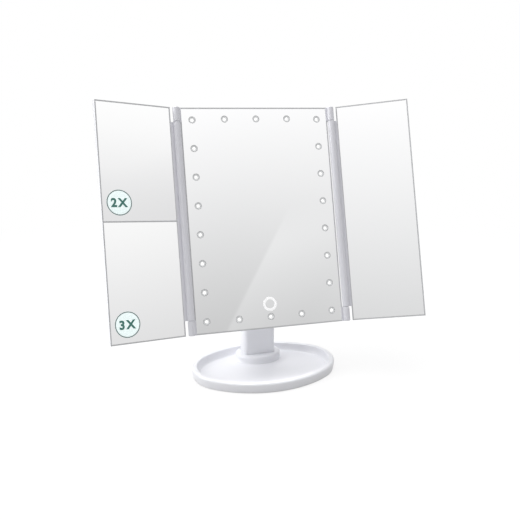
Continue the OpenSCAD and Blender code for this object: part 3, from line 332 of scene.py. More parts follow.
def finish_piece(name, mesh, body, materials, crease):
    """Puts a mesh into the scene as a smooth-shaded piece that rides on a body and takes the
    materials it is given."""
    mesh.shade_smooth()
    mesh.set_sharp_from_angle(angle=math.radians(crease))
    for material in materials:
        mesh.materials.append(material)
    made = bpy.data.objects.new(name, mesh)
    bpy.context.collection.objects.link(made)
    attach(made, body)
    return made


def oval(half_width, half_depth, steps=48):
    """An oval of four arcs that meet where its outward direction is (3, 4) over 5. The end arcs'
    centres lie one and a half times the half axes' difference from the middle, and the side arcs'
    twice. It gives points and outward directions, anticlockwise from the right, and ends with the
    first point again."""
    meet = math.atan2(4, 3)
    gap = half_width - half_depth
    end_radius, side_radius = half_width - 1.5 * gap, half_depth + 2 * gap
    end = np.linspace(-meet, meet, steps)
    side = np.linspace(meet, math.pi - meet, steps)
    turn = np.concatenate([end, side[1:], end[1:] + math.pi, side[1:] + math.pi])
    radius = np.repeat([end_radius, side_radius] * 2, [steps] + [steps - 1] * 3)
    middle = np.zeros((len(turn), 2))
    middle[:steps, 0] = 1.5 * gap
    middle[steps:2 * steps - 1, 1] = -2 * gap
    middle[2 * steps - 1:3 * steps - 2, 0] = -1.5 * gap
    middle[3 * steps - 2:, 1] = 2 * gap
    outward = np.stack([np.cos(turn), np.sin(turn)], -1)
    return middle + radius[:, None] * outward, outward


def swept(outline, outward, profile):
    """A profile (out, up) carried round an outline: each point moves out along the outline's normal."""
    flat = outline[None] + profile[:, 0, None, None] * outward[None]
    up = np.broadcast_to(profile[:, 1, None, None], flat.shape[:2] + (1,))
    return np.concatenate([flat, up], -1)


def closed_to(ring, centre, shares):
    """Rings between a ring of points and its centre, drawn in by shares that fall to 0."""
    centre = np.asarray(centre, float)
    return centre + (ring[None] - centre) * np.asarray(shares, float)[:, None, None]


PLASTIC_CLOUD = 0.05       # sizes, in metres: cloudiness, wear and the ripple of the skin
PLASTIC_WEAR = 0.012
PLASTIC_RIPPLE = 0.0016
PLASTIC_DIM = 0.985        # the cloud's darker tone, as a share of the tint
PLASTIC_BLUR = 0.25        # its least roughness, and what the wear adds
PLASTIC_WEAR_BLUR = 0.1
RIPPLE_DEPTH = 0.006 * MM


def white_plastic(name, tint):
    """Glossy moulded plastic: a hardly visible cloudiness, a little wear in its gloss, and
    the orange-peel ripple of a moulded skin."""
    material = bpy.data.materials.new(name)
    shader = Shader(material)
    where = shader.object_place()
    cloud = shader.noise(where, PLASTIC_CLOUD)
    colour = shader.mix(cloud, [PLASTIC_DIM * c for c in tint], tint)
    wear = shader.noise(where, PLASTIC_WEAR, 3.0)
    ripple = shader.noise(where, PLASTIC_RIPPLE)
    surface = shader.node("ShaderNodeBsdfPrincipled", sockets={
        "Base Color": colour, "Roughness": wear * PLASTIC_WEAR_BLUR + PLASTIC_BLUR, "IOR": 1.5,
        "Coat Weight": 0.15, "Coat Roughness": 0.12, "Normal": shader.bump(ripple, RIPPLE_DEPTH)})[0]
    shader.node("ShaderNodeOutputMaterial", sockets={"Surface": surface})
    return material


gloss_white = white_plastic("gloss_white", (0.895, 0.90, 0.935))

tray_low, tray_high = (np.array(corner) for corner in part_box("tray"))
TRAY_HALF_WIDTH, TRAY_HALF_DEPTH = (tray_high - tray_low)[:2] / 2
RIM_Z = tray_high[2]
TRAY_FOOT_Z = tray_low[2]
TRAY_FLOOR_Z = 3.7 * MM
TRAY_UNDER_Z = 2.5 * MM
RIM_BAND = 6.5 * MM        # from the outline in to the rim's inner face
RIM_EDGE = 2.6 * MM        # radii of the rim's outer and inner edge
RIM_INNER_EDGE = 1.4 * MM
WALL_SLOPE = 4 * MM
WALL_DRAFT = 1 * MM
WALL_FOOT = 0.3 * MM
TRAY_WALL = 1.2 * MM
COLLAR_BACK = 29 * MM      # the collar's and the neck's middles, behind the tray's
COLLAR_HALF_WIDTH = 27 * MM
COLLAR_HALF_DEPTH = 20 * MM
COLLAR_FLARE = 1.3 * MM    # radius where the collar sweeps into the floor
COLLAR_SINK = 0.4 * MM     # how far its skin starts inside the floor
NECK_BACK = 32 * MM
SOCKET_HALF_WIDTH = 19.1 * MM
SOCKET_HALF_DEPTH = 12.1 * MM
SOCKET_CORNER = 5.6 * MM
SOCKET_EDGE = 0.3 * MM
SOCKET_Z = 4.7 * MM

stand = Place((tray_low + tray_high) / 2 * (1, 1, 0))


def arc(centre, radius, start, end, steps=9):
    """Points on a circle between two angles in degrees."""
    turn = np.radians(np.linspace(start, end, steps))
    return np.array(centre) + radius * np.stack([np.cos(turn), np.sin(turn)], -1)


def dish_wall(steps):
    """The rim's inner face: it leans in by WALL_SLOPE on its way down, and its height over the floor
    falls with the power 2.5 of what is left of the way, so it runs level into the floor."""
    left = np.linspace(1, 0, steps)
    height = RIM_Z - RIM_INNER_EDGE - TRAY_FLOOR_Z
    return np.stack([-RIM_BAND - WALL_SLOPE * (1 - left), TRAY_FLOOR_Z + height * left ** 2.5], -1)


# The hollow under the rim runs beside the wall, at about the wall's thickness.
hollow = dish_wall(12) + np.array((0.75, -0.75)) * TRAY_WALL
dish_profile = np.concatenate([
    [(-RIM_BAND - WALL_SLOPE, TRAY_UNDER_Z)], hollow[::-1],
    [(TRAY_WALL - RIM_BAND, RIM_Z - TRAY_WALL), (-RIM_EDGE, RIM_Z - TRAY_WALL),
     (-TRAY_WALL, RIM_Z - RIM_EDGE), (-WALL_DRAFT - TRAY_WALL, TRAY_FOOT_Z)],
    arc((-WALL_DRAFT - WALL_FOOT, TRAY_FOOT_Z + WALL_FOOT), WALL_FOOT, -90, 0, 4),
    arc((-RIM_EDGE, RIM_Z - RIM_EDGE), RIM_EDGE, 0, 90, 12),
    arc((RIM_INNER_EDGE - RIM_BAND, RIM_Z - RIM_INNER_EDGE), RIM_INNER_EDGE, 90, 180, 9),
    dish_wall(24)[1:]])
dish = swept(*oval(TRAY_HALF_WIDTH, TRAY_HALF_DEPTH), dish_profile)
dish = np.concatenate([
    closed_to(dish[0], (0, 0, TRAY_UNDER_Z), (0, 0.4, 0.8)), dish,
    closed_to(dish[-1], (0, 0, TRAY_FLOOR_Z), (0.98, 0.8, 0.5, 0.2, 0))])


def rounded_box(turn, half_width, half_depth, radius):
    """Where rays at the angles `turn` leave a rounded rectangle round the origin: on a straight side,
    or on a corner's circle, half a chord past the ray's nearest point to the circle's centre."""
    ray = np.stack([np.cos(turn), np.sin(turn)], -1)
    lean = np.abs(ray) + 1e-9
    half = np.array([half_width, half_depth])
    side = (half / lean).min(1)
    corner = half - radius
    near = lean @ corner
    past = near + np.sqrt(np.maximum(near ** 2 - corner @ corner + radius ** 2, 0))
    at_corner = (lean * side[:, None] > corner).all(1)
    return ray * np.where(at_corner, past, side)[:, None]


outline, outward = oval(COLLAR_HALF_WIDTH, COLLAR_HALF_DEPTH)
collar_skin = swept(outline, outward, np.concatenate([
    [(COLLAR_FLARE, TRAY_FLOOR_Z - COLLAR_SINK)],
    arc((COLLAR_FLARE, TRAY_FLOOR_Z + COLLAR_FLARE), COLLAR_FLARE, 270, 180, 7),
    arc((-RIM_EDGE, RIM_Z - RIM_EDGE), RIM_EDGE, 0, 90, 12)]))
socket_back = NECK_BACK - COLLAR_BACK
from_neck = outline - (0, socket_back)
turn_of = np.arctan2(from_neck[:, 1], from_neck[:, 0])


def socket_ring(inset, up):
    """The socket's edge at a height, drawn in by an inset, in the collar's own frame."""
    ring = rounded_box(turn_of, SOCKET_HALF_WIDTH - inset, SOCKET_HALF_DEPTH - inset,
                       SOCKET_CORNER - inset)
    return np.concatenate([ring + (0, socket_back), np.full((len(ring), 1), up)], 1)


mouth = arc((-SOCKET_EDGE, RIM_Z - SOCKET_EDGE), SOCKET_EDGE, 90, 0, 4)
collar_skin = np.concatenate([
    closed_to(collar_skin[0], (0, 0, TRAY_FLOOR_Z - COLLAR_SINK), (0, 0.5)), collar_skin,
    [socket_ring(out, up) for out, up in mouth], [socket_ring(0, SOCKET_Z)],
    closed_to(socket_ring(0, SOCKET_Z), (0, socket_back, SOCKET_Z), (0.5, 0))])
collar_skin += (0, COLLAR_BACK, 0)

tray = piece("tray_dish", [dish, collar_skin], stand, "stand", [gloss_white],
             crease=50)
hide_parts("tray")


# ---- bottom cover and feet ----------------------------------------------------
# A flat plastic cover is screwed on from below over a steel weight, and four rubber
# feet are pressed into its seats. Countersunk holes show the screws that hold it.

CAD_SEAM = 0.001 * MM       # the CAD's loose triangles are joined at corners closer than this
CAD_FLAT = math.radians(0.5)    # and are one flat where they meet at less than this
FRONT_REACH = 0.1 * MM      # how far from the front's depth a face may lie to count as front
BARREL_REACH = 4.6 * MM     # and how far from a hinge line to count as its barrel


def softened(node, materials, width, limit=32, front=None, barrels=()):
    """A white plastic CAD solid with its edges rolled over: its triangles are merged, flat neighbours
    are joined, and edges sharper than `limit` degrees get a round of `width` millimetres. With
    front = (place, depth), faces that look forward at that depth in that place take the second
    material, and those close to a hinge line, given as (across, depth) in that place, the third.
    On the frames the second is a grey painted shade line on the thin front edge, and the third a
    darker white, painted shade on the hinge barrels."""
    mesh = nodes[node].data.copy()
    mesh.name = "soft_" + node
    tidy = bmesh.new()
    tidy.from_mesh(mesh)
    bmesh.ops.remove_doubles(tidy, verts=tidy.verts, dist=CAD_SEAM)
    bmesh.ops.dissolve_limit(tidy, angle_limit=CAD_FLAT, verts=tidy.verts, edges=tidy.edges)
    tidy.to_mesh(mesh)
    tidy.free()
    mesh.materials.clear()
    faces = len(mesh.polygons)
    kind = np.zeros(faces, np.int32)
    if front:
        place, front_depth = front
        normal, centre = np.empty((2, faces * 3))
        mesh.polygons.foreach_get("normal", normal)
        mesh.polygons.foreach_get("center", centre)
        across, depth, _ = place.within(centre.reshape(-1, 3)).T
        forward = normal.reshape(-1, 3) @ place.axes[1] < -0.9
        for hinge_across, hinge_depth in barrels:
            kind[np.hypot(across - hinge_across, depth - hinge_depth) < BARREL_REACH] = 2
        kind[forward & (np.abs(depth - front_depth) < FRONT_REACH)] = 1
    mesh.polygons.foreach_set("material_index", kind)
    made = finish_piece("soft_" + node, mesh, nodes[node]["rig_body"], materials, 180)
    bevel = made.modifiers.new("edges", "BEVEL")
    bevel.width, bevel.segments = width * MM, 2
    bevel.limit_method, bevel.angle_limit = "ANGLE", math.radians(limit)
    made.modifiers.new("flats", "WEIGHTED_NORMAL").keep_sharp = True
    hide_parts(node)


def turned(profile, steps=40):
    """A profile (radius, depth) carried round an axis that points back: r cos, depth, r sin."""
    turn = np.linspace(0, 2 * math.pi, steps + 1)
    radius, depth = np.asarray(profile, float).T[:, :, None]
    return np.stack([radius * np.cos(turn), depth + 0 * turn, radius * np.sin(turn)], -1)


def extent(node, place):
    """A CAD node's lowest and highest corners in a place."""
    points = np.empty(len(nodes[node].data.vertices) * 3)
    nodes[node].data.vertices.foreach_get("co", points)
    points = place.within(points.reshape(-1, 3))
    return points.min(0), points.max(0)


def corners(across, up):
    """The four spots (across, up) on either side of a middle."""
    return [(x, z) for x in (-across, across) for z in (-up, up)]


def at_spots(shape, spots):
    """Copies of a grid of points, one at each spot (across, up)."""
    return [shape + (x, 0, z) for x, z in spots]


WEAR_BLUR = 0.12            # how far wear moves a finish's roughness, from least to most


def finish(name, tint, roughness, metallic=0.0, cloud=0.04, size=0.01, grain=0.0008, depth=0.01,
           **more):
    """A plain material whose colour is clouded by noise lumps of `size` metres, with some wear in its
    gloss and a grain of `grain` metres, `depth` millimetres deep."""
    material = bpy.data.materials.new(name)
    shader = Shader(material)
    where = shader.object_place()
    colour = shader.mix(shader.noise(where, size), [c * (1 - cloud) for c in tint], tint)
    wear = shader.noise(where, 0.4 * size, 3.0)
    surface = shader.node("ShaderNodeBsdfPrincipled", sockets={
        "Base Color": colour, "Metallic": metallic,
        "Roughness": wear * WEAR_BLUR + (roughness - WEAR_BLUR / 2),
        "Normal": shader.bump(shader.noise(where, grain), depth * MM), **more})[0]
    shader.node("ShaderNodeOutputMaterial", sockets={"Surface": surface})
    return material


def dress(material, *names):
    """Gives CAD nodes a material."""
    for name in names:
        for slot in nodes[name].material_slots:
            slot.material = material


soft_rubber = finish("soft_rubber", (0.045, 0.045, 0.048), 0.75, grain=0.0005, depth=0.02)
bare_zinc = finish("bare_zinc", (0.58, 0.59, 0.60), 0.34, metallic=1.0,
                   cloud=0.12, size=0.006, grain=0.0003)
mould_white = finish("mould_white", (0.86, 0.86, 0.875), 0.45,
                     cloud=0.02, size=0.04, grain=0.0007, depth=0.012)

softened("bottom_cover", [mould_white], 0.2)
dress(bare_zinc, "ballast_plate", "foot_screws")

FOOT_RADIUS = 5 * MM
FOOT_EDGE = 0.35 * MM
FOOT_X, FOOT_Y = 51.65 * MM, 30.2 * MM
from_below = Place(stand.origin, (1, 0, 0), (0, 0, 1), (0, -1, 0))
foot_top = extent("rubber_feet", from_below)[1][1]
foot_shape = turned(np.concatenate([
    [(0, 0), (0.6 * FOOT_RADIUS, 0)],
    arc((FOOT_RADIUS - FOOT_EDGE, FOOT_EDGE), FOOT_EDGE, -90, 0, 5),
    [(FOOT_RADIUS, foot_top), (0, foot_top)]]))
feet = piece("rubber_pads", at_spots(foot_shape, corners(FOOT_X, FOOT_Y)),
             from_below, "stand", [soft_rubber])
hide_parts("rubber_feet")

SCREW_HEAD = 2.2 * MM       # radii of a screw's head and shank
SCREW_SHANK = 1.05 * MM
SLOT_HALF = 0.2             # the cross's half width and reach, and the widths over which its
SLOT_REACH = 0.68           # sides and ends slope, as shares of the head's radius
SLOT_SIDE = 0.1
SLOT_END = 0.12
SLOT_DEPTH = 0.6            # its depth, and how far the head bulges, as shares of its height
HEAD_BULGE = 0.45


def cross_screw(head_height, length, steps=24):
    """Two grids. The pan head is a square grid spread over a disc: it bulges with the square of the
    distance from its middle, and two crossed slots are pressed into it. The other grid carries
    the head's edge down its side and along the shank. Depth 0 is the top of the head."""
    line = np.linspace(-1, 1, steps + 1)
    u, v = np.meshgrid(line, line)
    reach = np.maximum(np.abs(u), np.abs(v))
    turn = np.arctan2(v, u)
    x, z = reach * np.cos(turn), reach * np.sin(turn)
    narrow, wide = np.minimum(np.abs(x), np.abs(z)), np.maximum(np.abs(x), np.abs(z))
    side = np.clip((SLOT_HALF - narrow) / SLOT_SIDE, 0, 1)
    end = np.clip((SLOT_REACH - wide) / SLOT_END, 0, 1)
    depth = head_height * (HEAD_BULGE * reach ** 2 + SLOT_DEPTH * (side * end))
    head = np.stack([SCREW_HEAD * x, depth, SCREW_HEAD * z], -1)
    edge = np.concatenate([head[0], head[1:, -1], head[-1, -2::-1], head[-2::-1, 0]])
    shank = SCREW_SHANK / SCREW_HEAD
    stations = [(1, 0.75 * head_height), (0.97, head_height), (shank, head_height),
                (shank, length - 0.4 * SCREW_SHANK), (0.7 * shank, length), (0, length)]
    rings = [edge] + [edge * (share, 0, share) + (0, down, 0) for share, down in stations]
    return [head, np.array(rings)]


def screws(node, place, spots, head_height):
    """Cross-head screws at spots (across, up) of a place whose back axis points into the work. They
    reach as deep as the CAD's screws do, and take their place."""
    low, high = extent(node, place)
    shape = cross_screw(head_height, high[1] - low[1])
    made = piece(node + "_cross", [grid + (x, low[1], z) for x, z in spots for grid in shape],
                 place, nodes[node]["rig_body"], [bare_zinc])
    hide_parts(node)


BASE_SCREW_X, BASE_SCREW_Y = 67.97 * MM, 26.87 * MM
BASE_SCREW_HEAD = 0.8 * MM
screws("base_screws", from_below, corners(BASE_SCREW_X, BASE_SCREW_Y), BASE_SCREW_HEAD)


# ---- neck -------------------------------------------------------------------
# Two glossy half shells, clipped and screwed together from behind, rise from the
# collar and bend forward to the tilt hinge, where round caps hide the pin's ends.

NECK_SCREWS_UP = (54 * MM, 28.7 * MM)
SMALL_SCREW_HEAD = 1.2 * MM
softened("neck_front_shell", [gloss_white], 0.3, 30)
softened("neck_rear_shell", [gloss_white], 0.3, 30)
from_behind = Place(stand.origin, (-1, 0, 0), (0, -1, 0), (0, 0, 1))
screws("neck_screws", from_behind, [(0, up) for up in NECK_SCREWS_UP], SMALL_SCREW_HEAD)
softened("pin_caps", [gloss_white], 0.3)
softened("tilt_bracket", [gloss_white], 0.3)
grey_nylon = finish("grey_nylon", (0.16, 0.165, 0.17), 0.5, grain=0.0006)
dress(bare_zinc, "tilt_pin")
dress(grey_nylon, "friction_washers")


# ---- head shells --------------------------------------------------------------
# The lit centre panel sits in a glossy front frame whose thin edge stands just
# proud of the glass, closed by a moulded back with the battery box in it.

hinges = {joint["name"]: joint for joint in frame["joints"]}
left_hinge, right_hinge = hinges["left_wing_hinge"], hinges["right_wing_hinge"]
HINGE_FORWARD = 2 * MM      # how far the hinge lines lie in front of the panels' front edges
LIP_OUT = 0.3 * MM          # how far the thin edges stand proud of the panels' fronts
head_up = np.array(left_hinge["axis"], float)
head_up /= np.linalg.norm(head_up)
head_back = np.array([0, head_up[2], -head_up[1]])
hinge_middle = (np.array(left_hinge["pos_m"]) + right_hinge["pos_m"]) / 2
head = Place(hinge_middle + HINGE_FORWARD * head_back, (1, 0, 0), head_back, head_up)

# Grey for the forward faces of the white frames' thin front edges: a painted shade line round each
# panel.
satin_edge = finish("satin_edge", (0.54, 0.545, 0.56), 0.4,
                    cloud=0.05, size=0.02, grain=0.0006, depth=0.006)
# A darker copy of the white plastic for the hinge barrels: painted shade between the panels.
hinge_white = white_plastic("hinge_white", (0.70, 0.70, 0.745))
frame_looks = [gloss_white, satin_edge, hinge_white]

hinge_side = np.linalg.norm(np.subtract(left_hinge["pos_m"], right_hinge["pos_m"])) / 2
softened("front_frame", frame_looks, 0.2, front=(head, -LIP_OUT),
         barrels=[(-hinge_side, -HINGE_FORWARD), (hinge_side, -HINGE_FORWARD)])
softened("rear_housing", [gloss_white], 0.3)
softened("battery_door", [gloss_white], 0.25)

HOUSING_SCREW_X, HOUSING_SCREW_UP = 58.9 * MM, 95.9 * MM
HOUSING_SCREW_HEAD = 1.4 * MM
BRACKET_DOWN = 44 * MM      # the bracket's middle, below the head's
BRACKET_SCREW_X, BRACKET_SCREW_UP = 15 * MM, 13 * MM
head_from_behind = Place(head.origin, (-1, 0, 0), -head_back, head_up)
middle_pair = [(-HOUSING_SCREW_X, 0), (HOUSING_SCREW_X, 0)]
screws("housing_screws", head_from_behind, corners(HOUSING_SCREW_X, HOUSING_SCREW_UP) + middle_pair,
       HOUSING_SCREW_HEAD)
screws("bracket_screws", head_from_behind.moved(0, 0, -BRACKET_DOWN),
       corners(BRACKET_SCREW_X, BRACKET_SCREW_UP), SMALL_SCREW_HEAD)

foam_tape = finish("foam_tape", (0.8, 0.8, 0.78), 0.8, size=0.004, grain=0.0004, depth=0.04)
board_green = finish("board_green", (0.03, 0.16, 0.075), 0.45, cloud=0.25, size=0.004)
conductive_foam = finish("conductive_foam", (0.06, 0.062, 0.065), 0.85, grain=0.0004, depth=0.05)
red_cover = finish("red_cover", (0.42, 0.03, 0.025), 0.4)
cell_sleeve = finish("cell_sleeve", (0.05, 0.16, 0.34), 0.3, size=0.02)
dress(foam_tape, "centre_mirror_tape", "left_mirror_tape", "right_mirror_tape")
dress(board_green, "led_boards", "control_board")
dress(conductive_foam, "touch_pad")
dress(red_cover, "lead_wires")
dress(cell_sleeve, "battery_cells")
dress(bare_zinc, "board_screws", "power_inlet", "battery_contacts",
      "left_hinge_pins", "right_hinge_pins")


# ---- mirrors ------------------------------------------------------------------
# Silvered glass, taped to a shelf in each frame. The centre glass has holes for the
# lights; the left wing has two magnifying mirrors and the right wing a plain one.

PANEL_HALF = 120 * MM
FILM_SIZE = 0.03            # the wiping marks, in metres
FILM_BLUR = 0.03            # the roughness that they add, and the clean glass's own
GLASS_BLUR = 0.005


def up_the_panel(shader):
    """How far up the head's own height a point lies: 0 at the panels' bottom edge, 1 at the top."""
    bottom = float(head.origin @ head_up) - PANEL_HALF
    return (shader.along(shader.object_place(), head_up) - bottom) * (0.5 / PANEL_HALF)


def silvered(name, low_colour, high_colour, low=0.0, high=1.0):
    """Polished glass over silver. Its base colour goes from the first colour at the panel height `low`
    to the second at `high`: on the magnifying mirrors this is a painted reflection, darker towards the
    bottom. A faint film of dust and wiping marks takes the edge off the reflection."""
    material = bpy.data.materials.new(name)
    shader = Shader(material)
    colour = shader.mix(up_the_panel(shader).rise(low, high), low_colour, high_colour)
    film = shader.noise(shader.object_place(), FILM_SIZE, 4.0)
    surface = shader.node("ShaderNodeBsdfPrincipled", sockets={
        "Base Color": colour, "Metallic": 1.0, "Roughness": film * FILM_BLUR + GLASS_BLUR,
        "Coat Weight": 0.2, "Coat Roughness": 0.03})[0]
    shader.node("ShaderNodeOutputMaterial", sockets={"Surface": surface})
    return material


plain_silver = silvered("plain_silver", (0.95, 0.955, 0.96), (0.955, 0.955, 0.96))
# The magnifying mirrors grow darker towards the panel's bottom: a painted reflection.
upper_silver = silvered("upper_silver", (0.76, 0.76, 0.765), (0.94, 0.94, 0.94), 0.5, 1.05)
lower_silver = silvered("lower_silver", (0.92, 0.92, 0.925), (0.945, 0.945, 0.945), 0.0, 0.5)
dress(plain_silver, "centre_mirror", "right_mirror")
dress(upper_silver, "upper_magnifying_mirror")
dress(lower_silver, "lower_magnifying_mirror")


# ---- lights and touch switch -----------------------------------------------------
# Clear-white lamp heads shine through holes in the glass, each in a dished frosted
# window. Below them a white ring printed round a sensing pad marks the touch switch.

WINDOW_RADIUS = 3.75 * MM
WINDOW_EDGE = 0.15 * MM
WINDOW_DISH = 0.2 * MM
WINDOW_BAND = 0.6 * MM       # the grey band's width, and how far its inner edge lies deeper
BAND_FALL = 0.3 * WINDOW_EDGE
LAMP_RADIUS = 1.8 * MM
LAMP_DOME = 0.7 * LAMP_RADIUS
LAMP_GAP = 0.1 * MM
LIGHT_X, LIGHT_UP = 69.9 * MM, 106.9 * MM
LIGHT_ROW_UP = LIGHT_UP + 0.75 * MM

frosted = finish("frosted", (0.80, 0.81, 0.82), 0.6, cloud=0.05, size=0.003, grain=0.0002)
# A darker copy of the frosted finish for the window's outer band: painted shade round the window's
# edge.
window_grey = finish("window_grey", (0.62, 0.63, 0.64), 0.5, cloud=0.05, size=0.003, grain=0.0002)
lamp_lens = finish("lamp_lens", (0.93, 0.93, 0.92), 0.2, cloud=0.02,
                   **{"Emission Color": (1.0, 0.99, 0.97, 1), "Emission Strength": 0.45})
# The printed ring glows a little, though it is no lamp: painted light.
white_ink = finish("white_ink", (0.93, 0.93, 0.94), 0.35, cloud=0.02, depth=0.001,
                   **{"Emission Color": (1.0, 1.0, 1.0, 1), "Emission Strength": 0.25})

column = [(x, z) for x in (-LIGHT_X, LIGHT_X) for z in np.linspace(-LIGHT_UP, LIGHT_UP, 8)]
row = [(x, z) for x in (-LIGHT_X / 2, 0, LIGHT_X / 2) for z in (-LIGHT_ROW_UP, LIGHT_ROW_UP)]
light_spots = column + row

low, high = extent("light_windows", head)
band_radius = WINDOW_RADIUS - WINDOW_BAND
lamp_hole = LAMP_RADIUS + LAMP_GAP
band = turned(np.concatenate([
    [(WINDOW_RADIUS, high[1])],
    arc((WINDOW_RADIUS - WINDOW_EDGE, low[1] + WINDOW_EDGE), WINDOW_EDGE, 0, -90, 4),
    [(band_radius, low[1] + BAND_FALL), (band_radius, high[1]), (WINDOW_RADIUS, high[1])]]))
window = turned(np.concatenate([
    [(band_radius, high[1]), (band_radius, low[1] + WINDOW_EDGE)],
    arc((lamp_hole + WINDOW_EDGE, low[1] + WINDOW_DISH + WINDOW_EDGE), WINDOW_EDGE, -90, -180, 4),
    [(lamp_hole, high[1]), (band_radius, high[1])]]))
windows = piece("frosted_windows", at_spots(window, light_spots), head, "head", [frosted])
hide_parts("light_windows")
piece("window_bands", at_spots(band, light_spots), head, "head", [window_grey])

low, high = extent("led_heads", head)
crown = arc((0, 1), 1, -90, 0, 9) * (LAMP_RADIUS, LAMP_DOME)
lamp = turned(np.concatenate([crown + (0, low[1]), [(LAMP_RADIUS, high[1]), (0, high[1])]]))
lamps = piece("lamp_heads", at_spots(lamp, light_spots), head, "head", [lamp_lens])
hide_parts("led_heads")

TOUCH_RADIUS, TOUCH_HOLE, TOUCH_UP = 7.5 * MM, 5.0 * MM, -94 * MM
low, high = extent("touch_ring", head)
TOUCH_EDGE = 0.45 * (high[1] - low[1])
ring = turned(np.concatenate([
    [(TOUCH_RADIUS, high[1])],
    arc((TOUCH_RADIUS - TOUCH_EDGE, low[1] + TOUCH_EDGE), TOUCH_EDGE, 0, -90, 5),
    arc((TOUCH_HOLE + TOUCH_EDGE, low[1] + TOUCH_EDGE), TOUCH_EDGE, -90, -180, 5),
    [(TOUCH_HOLE, high[1]), (TOUCH_RADIUS, high[1])]]), 64)
touch = piece("touch_print", [ring + (0, 0, TOUCH_UP)], head, "head", [white_ink])
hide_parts("touch_ring")


# ---- wings ------------------------------------------------------------------------
# Each wing is a shallow tray frame with a snapped-on back cover, and hangs on two
# steel pins. Its thin front edge stands just proud of the glass, as the centre's does.

def wing_place(hinge, side):
    """A wing's frame: the hinge at the origin, across along the panel, turned by the rest angle."""
    open_angle = -math.radians(hinge["range_deg"][0])
    across = side * math.cos(open_angle) * head.axes[0] - math.sin(open_angle) * head_back
    back = side * math.sin(open_angle) * head.axes[0] + math.cos(open_angle) * head_back
    return Place(hinge["pos_m"], across, back, head_up)


left_wing, right_wing = wing_place(left_hinge, -1), wing_place(right_hinge, 1)
for side, place in (("left", left_wing), ("right", right_wing)):
    softened(side + "_wing_frame", frame_looks, 0.2,
             front=(place, HINGE_FORWARD - LIP_OUT), barrels=[(0, 0)])
    softened(side + "_wing_cover", [gloss_white], 0.3)


def rounded(corners, steps=6):
    """A line through corners (x, y, radius), each replaced by an arc that both its sides touch.
    The arc blends the two radii from its centre, weighted with sines of the angle between them."""
    corners = np.array(corners, float)
    points, radius = corners[:, :2], corners[1:-1, 2:]
    into = points[:-2] - points[1:-1]
    onto = points[2:] - points[1:-1]
    into /= np.linalg.norm(into, axis=1, keepdims=True)
    onto /= np.linalg.norm(onto, axis=1, keepdims=True)
    half = np.arccos(np.clip((into * onto).sum(1, keepdims=True), -1, 1)) / 2
    bisector = into + onto
    bisector /= np.linalg.norm(bisector, axis=1, keepdims=True)
    centre = points[1:-1] + bisector * radius / np.sin(half)
    start = points[1:-1] + into * radius / np.tan(half) - centre
    end = points[1:-1] + onto * radius / np.tan(half) - centre
    angle = (math.pi - 2 * half)[:, None]
    t = np.linspace(0, 1, steps)[None, :, None]
    swing = np.sin((1 - t) * angle) * start[:, None] + np.sin(t * angle) * end[:, None]
    arcs = (centre[:, None] + swing / np.sin(angle)).reshape(-1, 2)
    line = np.concatenate([points[:1], arcs, points[-1:]])
    return line[np.concatenate([[True], np.linalg.norm(np.diff(line, axis=0), axis=1) > 1e-7])]


# A grey strip covers the seam between the two magnifying mirrors; its grey is the painted shade of the
# frames' front edges.
STRIP_HALF = 0.75 * MM
STRIP_OUT = 0.2 * MM
STRIP_EDGE = 0.9 * STRIP_OUT
SEAM_HALF = 0.18 * MM
glass_low, glass_high = extent("upper_magnifying_mirror", left_wing)
glass_front, glass_back = glass_low[1], glass_high[1]
strip_front = glass_front - STRIP_OUT
strip_line = rounded([
    (-SEAM_HALF, glass_back, 0), (-SEAM_HALF, glass_front, 0), (-STRIP_HALF, glass_front, 0),
    (-STRIP_HALF, strip_front, STRIP_EDGE), (STRIP_HALF, strip_front, STRIP_EDGE),
    (STRIP_HALF, glass_front, 0), (SEAM_HALF, glass_front, 0), (SEAM_HALF, glass_back, 0),
    (-SEAM_HALF, glass_back, 0)], 5)
end_line = 0 * strip_line + (0, strip_line[:, 1].mean())
strip_rings = [(glass_low[0], end_line), (glass_low[0], strip_line),
               (glass_high[0], strip_line), (glass_high[0], end_line)]
strip = np.array([np.stack([np.full(len(line), x), line[:, 1], line[:, 0]], -1)
                  for x, line in strip_rings])
piece("seam_strip", [strip], left_wing, "left_wing", [satin_edge])


# ---- magnification labels -----------------------------------------------------------
# Two round stickers on the left wing's mirrors give how much they enlarge: pale
# mint vinyl, printed with a grey outline, a number and a cross in teal grey.

LABEL_RADIUS = 12.95 * MM
LABEL_BEVEL = 0.3 * MM
LINE_INSET = 0.15 * MM   # the printed outline's distance from the edge, and its width
LINE_WIDTH = 1.0 * MM
LABEL_SIDE, LABEL_UP, LOWER_LABEL = 67.0 * MM, 19 * MM, 120 * MM
LETTER_HEIGHT = 8.2 * MM
LETTER_BOLD = 0.5 * MM
LETTER_SPACE = 1.3       # times the type's own spacing
CAPITAL_SHARE = 0.7      # a capital's height, as a share of the type's size
LABEL_PAINTED_GLOW = 0.26    # painted light: a glow that makes the stickers brighter than the lamps alone

# The stickers' vinyl glows a little: painted light, not a lamp.
pale_mint = finish("pale_mint", (0.88, 0.985, 0.98), 0.4, cloud=0.02, size=0.02, depth=0.002,
                   **{"Emission Color": (0.88, 1.0, 1.0, 1), "Emission Strength": LABEL_PAINTED_GLOW})
grey_print = finish("grey_print", (0.20, 0.26, 0.255), 0.45, cloud=0.05, depth=0.002)
teal_print = finish("teal_print", (0.05, 0.20, 0.165), 0.45, cloud=0.05, depth=0.002)

low, high = extent("magnification_labels", left_wing)
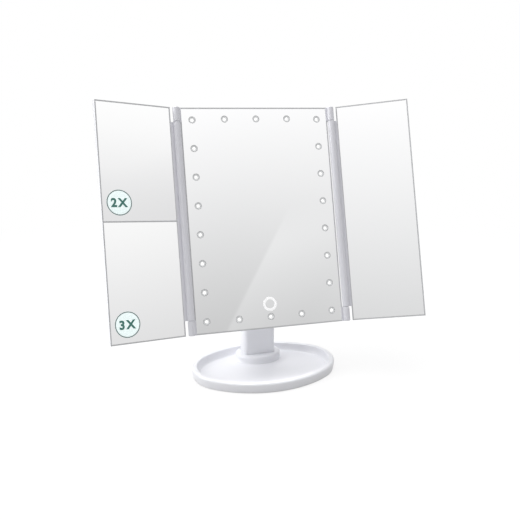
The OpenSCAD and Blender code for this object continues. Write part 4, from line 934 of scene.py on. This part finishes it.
# Depths of the outline's top and foot, the vinyl's face and the end of its bevel.
line_top, line_foot, face, bevel_end = low[1] + np.array((0.1, 0.5, 0.3, 0.6)) * (high[1] - low[1])
disc = turned([(0, face), (0.7 * LABEL_RADIUS, face), (LABEL_RADIUS - LABEL_BEVEL, face),
               (LABEL_RADIUS, bevel_end), (LABEL_RADIUS, high[1]), (0, high[1])], 72)
outer, inner = LABEL_RADIUS - LINE_INSET, LABEL_RADIUS - LINE_INSET - LINE_WIDTH
outline_ring = turned([(outer, line_foot), (outer, line_top), (inner, line_top),
                       (inner, line_foot), (outer, line_foot)], 72)
label_spots = [(LABEL_SIDE, LABEL_UP), (LABEL_SIDE, LABEL_UP - LOWER_LABEL)]
stickers = piece("label_vinyl", at_spots(disc, label_spots), left_wing, "left_wing", [pale_mint])
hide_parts("magnification_labels")
piece("label_outline", at_spots(outline_ring, label_spots), left_wing, "left_wing", [grey_print])


def lettering(name, words, across, up):
    """Flat bold letters, centred on a spot of the left wing's vinyl and read from in front."""
    text = bpy.data.curves.new(name, "FONT")
    text.body, text.align_x, text.align_y = words, "CENTER", "CENTER"
    text.space_character = LETTER_SPACE
    text.size, text.offset, text.extrude = LETTER_HEIGHT / CAPITAL_SHARE, LETTER_BOLD, face - low[1]
    holder = bpy.data.objects.new(name, text)
    bpy.context.collection.objects.link(holder)
    bpy.context.view_layer.update()
    shown = holder.evaluated_get(bpy.context.evaluated_depsgraph_get())
    mesh = bpy.data.meshes.new_from_object(shown)
    bpy.data.objects.remove(holder)
    mesh.name = name
    points = np.empty((len(mesh.vertices), 3))
    mesh.vertices.foreach_get("co", points.reshape(-1))
    points[:, :2] -= (points[:, :2].min(0) + points[:, :2].max(0)) / 2
    reading = left_wing.moved(across, face, up)
    reading.axes[0] *= -1
    placed = reading.out(np.stack([points[:, 0], -points[:, 2], points[:, 1]], -1))
    mesh.vertices.foreach_set("co", placed.ravel())
    mesh.update()
    mesh.materials.clear()
    finish_piece(name, mesh, "left_wing", [teal_print], 40)


for name, words, (across, up) in zip(("upper_number", "lower_number"), ("2X", "3X"), label_spots):
    lettering(name, words, across, up)
